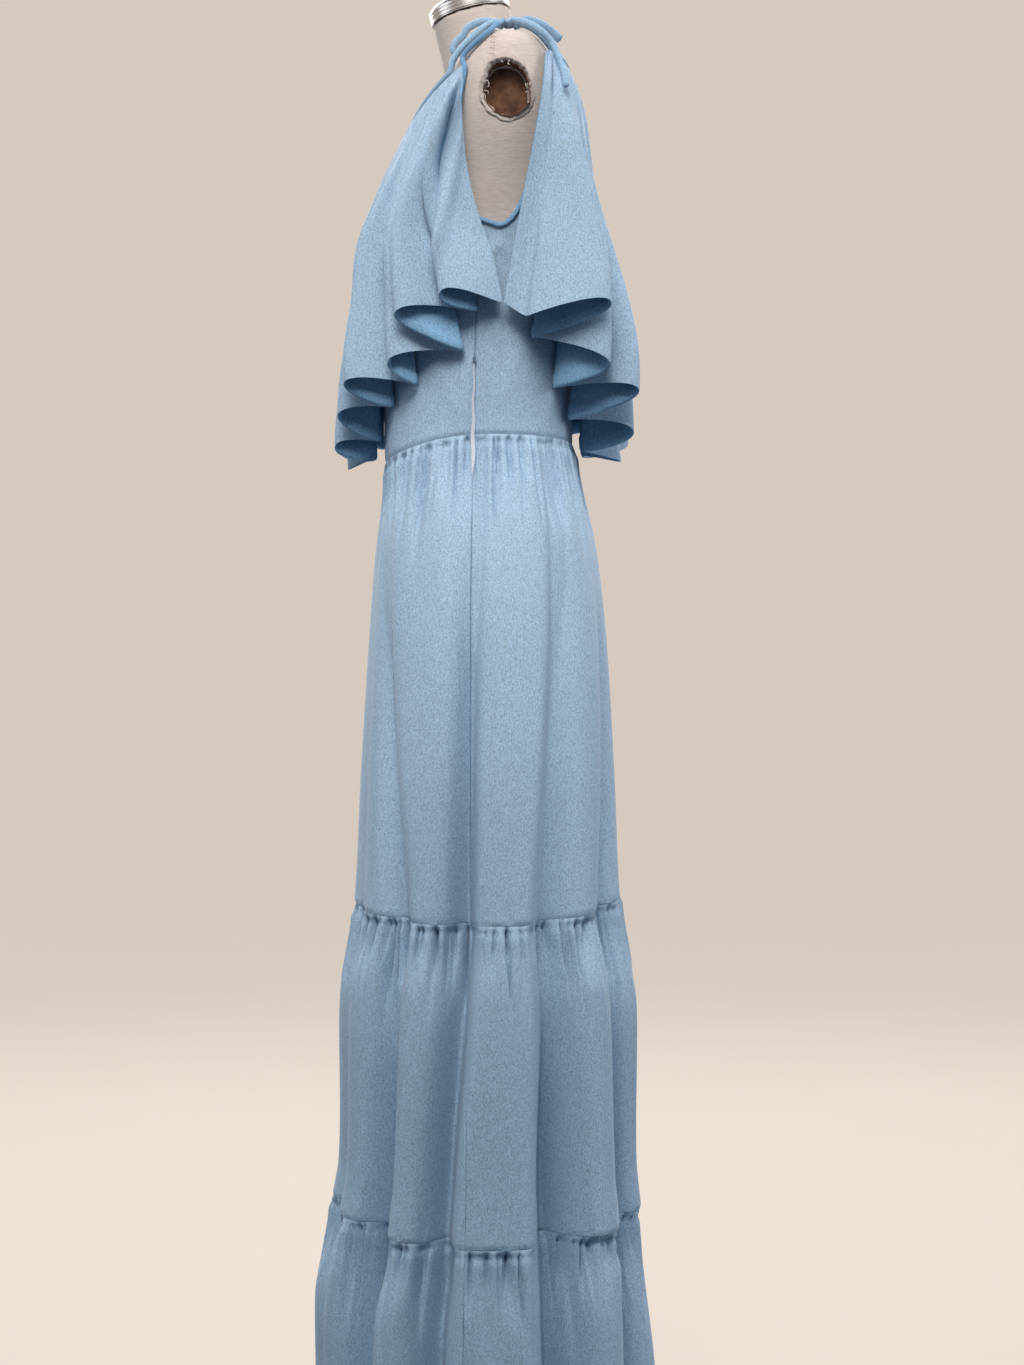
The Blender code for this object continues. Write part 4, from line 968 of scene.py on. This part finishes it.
def build_ties():
    front_strand = knot_ends(0.1, -1.0, 0.0) + [(0.1130, 0.0110, 1.4800), (0.1260, 0.0035, 1.4730),
                                                (0.1340, -0.0055, 1.4640), (0.1375, -0.0145, 1.4545),
                                                (0.1375, -0.0230, 1.4450), (0.1370, -0.0290, 1.4355)]
    back_strand = knot_ends(0.1, 1.0, -0.1) + [(0.1120, 0.0410, 1.4762), (0.1240, 0.0530, 1.4655)]
    for strand, (word, _, _, neckline, _) in zip((front_strand, back_strand), PANELS):
        middle = neckline_path(neckline, 90)
        left = tie_path(strand + [middle[0]])[:-1]
        path = np.concatenate([left, middle, mirrored(left, -1)[::-1]])
        made = rope("neck_tie_%s_cloth" % word, path, TIE_RADIUS, TIE_RADIUS * 0.94, "binding", groove=0.16)
        finish_piece(made, "neck_tie_" + word)
    square_tail = knot_ends(-0.8, 0.7, 0.3) + [(0.0990, 0.0425, 1.4850), (0.1070, 0.0576, 1.4772),
                                               (0.1070, 0.0671, 1.4696), (0.1070, 0.0738, 1.4640)]
    hanging_tail = knot_ends(0.9, 0.6, 0.1) + [(0.1200, 0.0340, 1.4790), (0.1320, 0.0440, 1.4725),
                                               (0.1385, 0.0545, 1.4640)]
    hanging_tail += [on_flounce(*place) for place in ((37.5, 1.4520, 0.003), (38.0, 1.4340, 0.006),
                                                      (36.0, 1.4180, 0.011), (34.5, 1.4060, 0.013))]
    loop = knot_ends(-0.8, -0.7, 0.3) + [(0.0990, 0.0010, 1.4840), (0.1080, -0.0140, 1.4760),
                                         (0.1100, -0.0200, 1.4672), (0.1150, -0.0263, 1.4595),
                                         (0.1165, -0.0290, 1.4525), (0.1165, -0.0266, 1.4474)]
    rise = [(0.1445, -0.0195, 1.4345), (0.1437, -0.0184, 1.4400), (0.1465, -0.0115, 1.4470),
            (0.1500, -0.0005, 1.4560), (0.1480, 0.0075, 1.4630), (0.1395, 0.0125, 1.4705),
            (0.1220, 0.0160, 1.4770)]
    end = knot_ends(0.8, -0.6, 0.0)
    armhole = armhole_path(10)
    binding = np.concatenate([armhole[:-1], smooth_path([armhole[-1]] + rise + end[1:], TIE_STEPS),
                              end[:1]])
    strips = (
        # name, path, half width, half height, surface, square end
        # The armhole binding takes the binding's copy with painted shade.
        ("armhole_binding_", binding, BINDING_RADIUS, BINDING_RADIUS, "armhole", False),
        ("tie_tail_back_", tie_path(square_tail), TIE_RADIUS * 0.62, TIE_RADIUS * 1.4, "binding", True),
        ("tie_tail_hanging_", tie_path(hanging_tail), TIE_RADIUS * 0.9, TIE_RADIUS, "binding", False),
        ("tie_loop_", tie_path(loop), TIE_RADIUS * 0.7, TIE_RADIUS * 1.15, "binding", False))
    for side, word in SIDES:
        for name, path, width, height, surface, square in strips:
            made = rope(name + word + "_cloth", mirrored(path, side), width, height, surface, groove=0.14,
                        square_end=square)
            finish_piece(made, name + word)
        build_knot(side, word)


def build_knot(side, word):
    """The knot: wraps of cloth that cross over its top."""
    lines, columns = 40, 56
    theta = np.linspace(0.0, math.pi, lines)[:, None]
    phi = (np.arange(columns) / columns * math.tau)[None, :]
    x, y, z = np.sin(theta) * np.cos(phi), np.sin(theta) * np.sin(phi), np.cos(theta) + 0.0 * phi
    wraps = 0.10 * np.abs(np.sin(2.6 * y + 1.2 * x + 0.7)) + 0.06 * np.abs(np.sin(3.4 * x - 2.0 * z))
    points = np.stack([x, y, z], -1) * (0.90 + wraps)[..., None] * np.array(KNOT_HALF)
    points = mirrored(points + np.array(KNOT_CENTRE), side)
    faces = np.array(ring_faces(lines, columns, inward=True, capped=False))[:, ::side].tolist()
    made = mesh_object("shoulder_knot_%s_cloth" % word, points.reshape(-1, 3), faces, [surfaces["binding"]])
    finish_piece(made, "shoulder_knot_" + word)


def build_zip():
    z = np.linspace(ZIP_TOP_Z, ZIP_BOTTOM_Z, 90)[:, None]
    seam = round_form(SIDE_SEAM_TURN, z, BODICE_EASE)
    below = np.minimum(z, WAIST_Z - SEAM_GAP)
    skirt = np.max([skirt_points(SIDE_SEAM_TURN + away, below)[..., 0] for away in (-2.0, 0.0, 2.0)], 0)
    reach = np.where(z < WAIST_Z + ZIP_CLEARANCE, np.maximum(seam[..., 0], skirt), seam[..., 0])
    reach = np.convolve(np.pad(reach[:, 0], 4, mode="edge"), np.ones(9) / 9, mode="valid")[:, None]
    across = np.linspace(0.5, -0.5, 7)[None, :]
    opening = 0.35 + 0.5 * smoothstep((ZIP_TOP_Z - z) / 0.08)
    width = ZIP_WIDTH * opening * smoothstep((z - ZIP_BOTTOM_Z) / 0.02 + 0.15)
    y = seam[..., 1] + across * width + ZIP_WAVE * np.sin(z * 190.0)
    grid = np.stack([reach + ZIP_CLEARANCE + ZIP_THICKNESS + 0.0 * y, y, z + 0.0 * y], -1)
    cloth_piece("zip_tape_left", grid, ZIP_THICKNESS * 0.7, face="tape", reverse="tape")
    repaint("zip_slider_left", "zip_metal")


# The form and its stand

HOLE_OUTLINE = [
    # angle from the back, distance from the centre of the torn edge
    (-141.0, 0.0252),
    (-86.0, 0.0288),
    (-31.0, 0.0255),
    (3.0, 0.0204),
    (52.0, 0.0216),
    (90.0, 0.0240),
    (127.0, 0.0247),
    (161.0, 0.0217),
]
HOLE_THREADS = [
    # angle and distance from the centre, along a loose thread
    ((172.0, 0.0225), (166.0, 0.0190), (178.0, 0.0170), (186.0, 0.0185)),
    ((192.0, 0.0225), (196.0, 0.0188), (204.0, 0.0196)),
    ((-6.0, 0.0215), (0.0, 0.0178), (8.0, 0.0172), (6.0, 0.0192)),
    ((-16.0, 0.0225), (-14.0, 0.0190), (-20.0, 0.0180)),
    ((84.0, 0.0245), (88.0, 0.0205), (82.0, 0.0190)),
    ((104.0, 0.0245), (100.0, 0.0212)),
]
BOARD_RINGS = (
    # how far out from the hole's centre, and scale of the torn hole's shape
    (0.0004, 0.985),
    (0.0185, 0.985),
    (0.0190, 0.955),
    (0.0022, 0.940),
    (0.0020, 0.900),
)
RAGGEDNESS = 0.012
TORN_EDGE_HALF = (0.0027, 0.0007)
THREAD_RADIUS = 0.00045
STITCH_RADIUS = 0.0006
CAP_DOME = (
    # radius, and how far below the cap's top
    (0.016, 0.0006),
    (0.028, 0.0030),
    (0.0355, 0.0062),
    (0.0388, 0.0092),
)
LINEN_STITCHES = [
    # depth and height of both ends of each seam, crease and stitch on the linen, and how far it stands out
    ((0.0095, 1.4590), (0.0088, 1.4340), 0.0000),
    ((0.0075, 1.4560), (0.0115, 1.4548), 0.0000),
    ((0.0070, 1.4500), (0.0112, 1.4486), 0.0000),
    ((0.0066, 1.4440), (0.0108, 1.4430), 0.0000),
    ((0.0062, 1.4385), (0.0104, 1.4375), 0.0000),
    ((-0.0080, 1.3680), (0.0220, 1.3640), -0.0005),
    ((0.0220, 1.3640), (0.0560, 1.3690), -0.0005),
]


def hole_edge(side, count, scale):
    """Depth and height round the torn edge, anticlockwise seen from outside."""
    angle = np.arange(count) / count * math.tau * side
    random = np.random.default_rng(8)
    rough = 1.0 + RAGGEDNESS * sum(random.uniform(0.3, 1.0) * np.sin(angle * waves + random.uniform(0, 6.3))
                                   for waves in (9, 14, 22, 31))
    radius = np.interp(np.degrees(angle), *np.array(HOLE_OUTLINE).T, period=360.0) * scale * rough
    return ARM_HOLE_CENTRE[1] + np.cos(angle) * radius, ARM_HOLE_CENTRE[2] + np.sin(angle) * radius


def on_form(side, y, z, lift):
    """Points at a depth and height that lie a lift outside the form's side."""
    width, front, back, offset = sections_at(FORM_SECTIONS, z)
    deep = np.abs(y - offset) / np.where(y > offset, back - offset, front + offset)
    reach = width * (1.0 - np.minimum(deep, 1.0) ** BODY_SQUARENESS) ** (1.0 / BODY_SQUARENESS)
    return np.stack([(reach + lift) * side, y, z], -1)


def hole_solid(name, side, rings, surface):
    """A closed solid through rings of the torn hole's shape, each at a reach and a scale."""
    count = 120
    points = []
    for reach, scale in rings:
        y, z = hole_edge(side, count, scale)
        points.append(np.stack([np.full(count, (ARM_HOLE_CENTRE[0] + reach) * side), y, z], -1))
    faces = ring_faces(len(rings), count)
    return mesh_object(name, np.concatenate(points), faces, [surfaces[surface]], sharp=40.0)


def build_arm_hole(side, word):
    """The board seen in the arm hole, its torn edge, loose threads, and the seam beside it."""
    board = hole_solid("form_arm_plate_%s_board" % word, side, BOARD_RINGS, "board")
    finish_piece(board, "form_arm_plate_" + word)
    y, z = (np.append(part, part[:5]) for part in hole_edge(side, 150, 1.03))
    random = np.random.default_rng(12)
    swell = np.convolve(random.uniform(0.4, 1.6, len(y) + 4), np.ones(5) / 5, mode="valid")
    strands = [("torn_edge_" + word, on_form(side, y, z, -0.0003), TORN_EDGE_HALF[0] * swell,
                TORN_EDGE_HALF[1] * swell[::-1], "frayed", 10)]
    for number, thread in enumerate(HOLE_THREADS):
        angle, distance = np.array(thread).T
        y = ARM_HOLE_CENTRE[1] + np.cos(np.radians(angle)) * distance
        z = ARM_HOLE_CENTRE[2] + np.sin(np.radians(angle)) * distance
        path = smooth_path(on_form(side, y, z, 0.0008), 5)
        strands.append(("loose_thread_%s_%d" % (word, number), path, THREAD_RADIUS, THREAD_RADIUS, "frayed",
                        6))
    share = np.linspace(0.0, 1.0, 14)
    for number, ((y, z), (end_y, end_z), lift) in enumerate(LINEN_STITCHES):
        path = on_form(side, mix(y, end_y, share), mix(z, end_z, share), lift)
        strands.append(("linen_stitch_%s_%d" % (word, number), path, STITCH_RADIUS, STITCH_RADIUS, "linen",
                        6))
    for *strand, sides in strands:
        finish_piece(rope(*strand, sides=sides))


def apply_modifiers(made):
    """Keep the mesh as its modifiers leave it, and drop them."""
    shaped = bpy.data.meshes.new_from_object(made.evaluated_get(bpy.context.evaluated_depsgraph_get()))
    made.modifiers.clear()
    made.data = shaped


def build_torso():
    """Torso and neck in one, with the arm holes cut, remeshed and smoothed where the neck springs."""
    lines, columns = 150, 160
    z = np.linspace(FORM_SECTIONS[0][0], FORM_SECTIONS[-1][0], lines)[:, None]
    turn = (np.arange(columns) / columns * 360.0)[None, :]
    points = round_form(turn, z).reshape(-1, 3)
    torso = mesh_object("form_torso_linen", points, ring_faces(lines, columns), [surfaces["linen"]])
    lean = math.radians(NECK_LEAN)
    axis = Vector((0.0, -math.sin(lean), math.cos(lean)))
    bpy.ops.mesh.primitive_cylinder_add(vertices=96, radius=NECK_RADIUS, depth=NECK_LENGTH,
                                        location=Vector(NECK_RIM) - axis * NECK_LENGTH / 2,
                                        rotation=(lean, 0.0, 0.0))
    tools = [(bpy.context.object, "UNION")]
    for side, _ in SIDES:
        tools.append((hole_solid("hole_tool", side, ((0.0, 1.0), (0.04, 1.0)), "linen"), "DIFFERENCE"))
    for tool, operation in tools:
        step = torso.modifiers.new("shape", "BOOLEAN")
        step.object, step.operation, step.solver = tool, operation, "EXACT"
    apply_modifiers(torso)
    for tool, _ in tools:
        bpy.data.objects.remove(tool, do_unlink=True)
    remesh = torso.modifiers.new("remesh", "REMESH")
    remesh.mode, remesh.voxel_size, remesh.use_smooth_shade = "VOXEL", TORSO_VOXEL, True
    apply_modifiers(torso)
    blend = torso.vertex_groups.new(name="neck")
    places = np.empty(len(torso.data.vertices) * 3)
    torso.data.vertices.foreach_get("co", places)
    x, y, z = places.reshape(-1, 3).T
    weight = smoothstep((z - NECK_ROOT_Z) / 0.01) * smoothstep((NECK_ROOT_TOP_Z - z) / 0.006)
    weight *= smoothstep((NECK_ROOT_RADIUS - np.hypot(x, y)) / 0.02)
    for vertex in np.nonzero(weight > 0.01)[0]:
        blend.add([int(vertex)], float(weight[vertex]), "REPLACE")
    for group, factor, repeat in (("", 0.5, 2), ("neck", 0.8, 26)):
        smooth = torso.modifiers.new("smooth", "SMOOTH")
        smooth.factor, smooth.iterations, smooth.vertex_group = factor, repeat, group
    apply_modifiers(torso)
    torso.data.shade_smooth()
    if not torso.data.materials:
        torso.data.materials.append(surfaces["linen"])
    finish_piece(torso, "form_torso")


def build_neck_cap():
    """A domed chrome cap with three grooves round its rim, leaning with the neck."""
    profile = [(radius, NECK_CAP_HEIGHT - drop) for radius, drop in CAP_DOME]
    level = NECK_CAP_HEIGHT - 0.0105
    for _ in range(3):
        profile += [(NECK_RADIUS + 0.0006, level), (NECK_RADIUS + 0.0006, level - 0.0022),
                    (NECK_RADIUS - 0.0002, level - 0.0027), (NECK_RADIUS - 0.0002, level - 0.0032)]
        level -= 0.0037
    profile += [(NECK_RADIUS + 0.0008, level + 0.0004), (NECK_RADIUS + 0.0008, SEAM_GAP),
                (NECK_RADIUS - 0.002, SEAM_GAP)]
    steps = 128
    x, y, z = turned_rings(profile, steps).T
    cosine, sine = math.cos(math.radians(NECK_LEAN)), math.sin(math.radians(NECK_LEAN))
    points = np.stack([x, y * cosine - z * sine, y * sine + z * cosine], -1) + np.array(NECK_RIM)
    faces = ring_faces(len(profile), steps, inward=True)
    cap = mesh_object("form_neck_cap_chrome", points, faces, [surfaces["chrome"]], sharp=50.0)
    finish_piece(cap, "form_neck_cap")


def build_form():
    build_torso()
    build_neck_cap()
    for side, word in SIDES:
        build_arm_hole(side, word)
    repaint("stand_pole", "steel")
    repaint("stand_base", "enamel")


# The stage

CAMERA_PLACE = (2.4, 0.027, 0.85)
SENSOR_HEIGHT = 36.0
FOCAL_LENGTH_PIXELS = 2400
PICTURE_HEIGHT_PIXELS = 1365
FLOOR_RADIUS = 9.0
CORNER_RADIUS = 3.0
WALL_HEIGHT = 9.0
LIGHTS = [
    # name, place, target, size, power, colour, cone of a spot lamp
    ("key", (1.7, -0.25, 3.0), (0.1, 0.0, 1.1), 1.8, 44.0, (1.0, 0.965, 0.92), None),
    ("upper", (1.9, -0.1, 2.7), (0.0, 0.0, 0.90), 0.9, 145.0, (1.0, 0.97, 0.93), 30.0),
    ("top_back", (-1.2, 0.1, 3.4), (-0.1, 0.0, 1.0), 2.2, 22.0, (1.0, 0.98, 0.95), None),
    ("far_front", (-2.6, -1.3, 2.5), (0.0, 0.0, 1.0), 2.0, 75.0, (1.0, 0.98, 0.96), None),
    ("far_back", (-2.6, 1.3, 2.5), (0.0, 0.0, 1.0), 2.0, 75.0, (1.0, 0.98, 0.96), None),
    ("side_front", (0.7, -3.0, 2.3), (0.0, 0.0, 1.1), 2.0, 26.0, (0.95, 0.97, 1.0), None),
    ("side_back", (0.7, 3.0, 2.3), (0.0, 0.0, 1.1), 2.0, 44.0, (0.95, 0.97, 1.0), None),
]


def build_lights():
    """Disk lamps, a soft spot lamp and a faint blue sky."""
    for name, place, target, size, power, colour, cone in LIGHTS:
        data = bpy.data.lights.new(name, "SPOT" if cone else "AREA")
        data.energy, data.color = power, colour
        if cone:
            data.spot_size, data.spot_blend, data.shadow_soft_size = math.radians(cone), 1.0, size / 2
        else:
            data.shape, data.size = "DISK", size
        lamp = bpy.data.objects.new(name, data)
        bpy.context.scene.collection.objects.link(lamp)
        lamp.location = place
        lamp.rotation_euler = (Vector(target) - Vector(place)).to_track_quat("-Z", "Y").to_euler()
    world = bpy.data.worlds.new("studio")
    bpy.context.scene.world = world
    world.use_nodes = True
    sky = world.node_tree.nodes["Background"]
    sky.inputs["Color"].default_value = (0.38, 0.53, 0.74, 1.0)
    sky.inputs["Strength"].default_value = 0.20
    bpy.context.scene.view_settings.view_transform = "Standard"


def build_camera():
    data = bpy.data.cameras.new("camera")
    data.sensor_fit = "VERTICAL"
    data.sensor_height = SENSOR_HEIGHT
    data.lens = SENSOR_HEIGHT * FOCAL_LENGTH_PIXELS / PICTURE_HEIGHT_PIXELS
    camera = bpy.data.objects.new("camera", data)
    bpy.context.scene.collection.objects.link(camera)
    camera.location = CAMERA_PLACE
    camera.rotation_euler = (math.radians(90.0), 0.0, math.radians(90.0))
    bpy.context.scene.camera = camera


def build_backdrop():
    """A floor that curves up into a pale wall all round, so that every view has the same plain ground."""
    profile = [(2.0, 0.0), (FLOOR_RADIUS, 0.0)]
    for step in range(1, 13):
        angle = step * math.pi / 24
        profile.append((FLOOR_RADIUS + CORNER_RADIUS * math.sin(angle),
                        CORNER_RADIUS - CORNER_RADIUS * math.cos(angle)))
    profile.append((FLOOR_RADIUS + CORNER_RADIUS, WALL_HEIGHT))
    steps = 96
    points = np.concatenate([[(0.0, 0.0, 0.0)], turned_rings(profile, steps)])
    index = np.arange(steps)
    fan = np.stack([0 * index, index + 1, np.roll(index, -1) + 1], -1).tolist()
    faces = (np.array(ring_faces(len(profile), steps, inward=True, capped=False)) + 1).tolist() + fan
    paint = mottled_material("backdrop", (0.12, 0.11, 0.10), (0.13, 0.12, 0.11), 0.95, 2.0, 0.0001)
    shader = paint.node_tree.nodes["Principled BSDF"]
    shader.inputs["Emission Color"].default_value = (0.66, 0.575, 0.50, 1.0)
    shader.inputs["Emission Strength"].default_value = 1.0
    shader.inputs["Specular IOR Level"].default_value = 0.0
    backdrop = mesh_object("backdrop", points, faces, [paint])
    backdrop.visible_diffuse = False
    backdrop.visible_shadow = False


# The whole


build_camera()
build_backdrop()
build_lights()
build_form()
build_bodice()
build_flounces()
build_skirt()
build_ties()
build_zip()
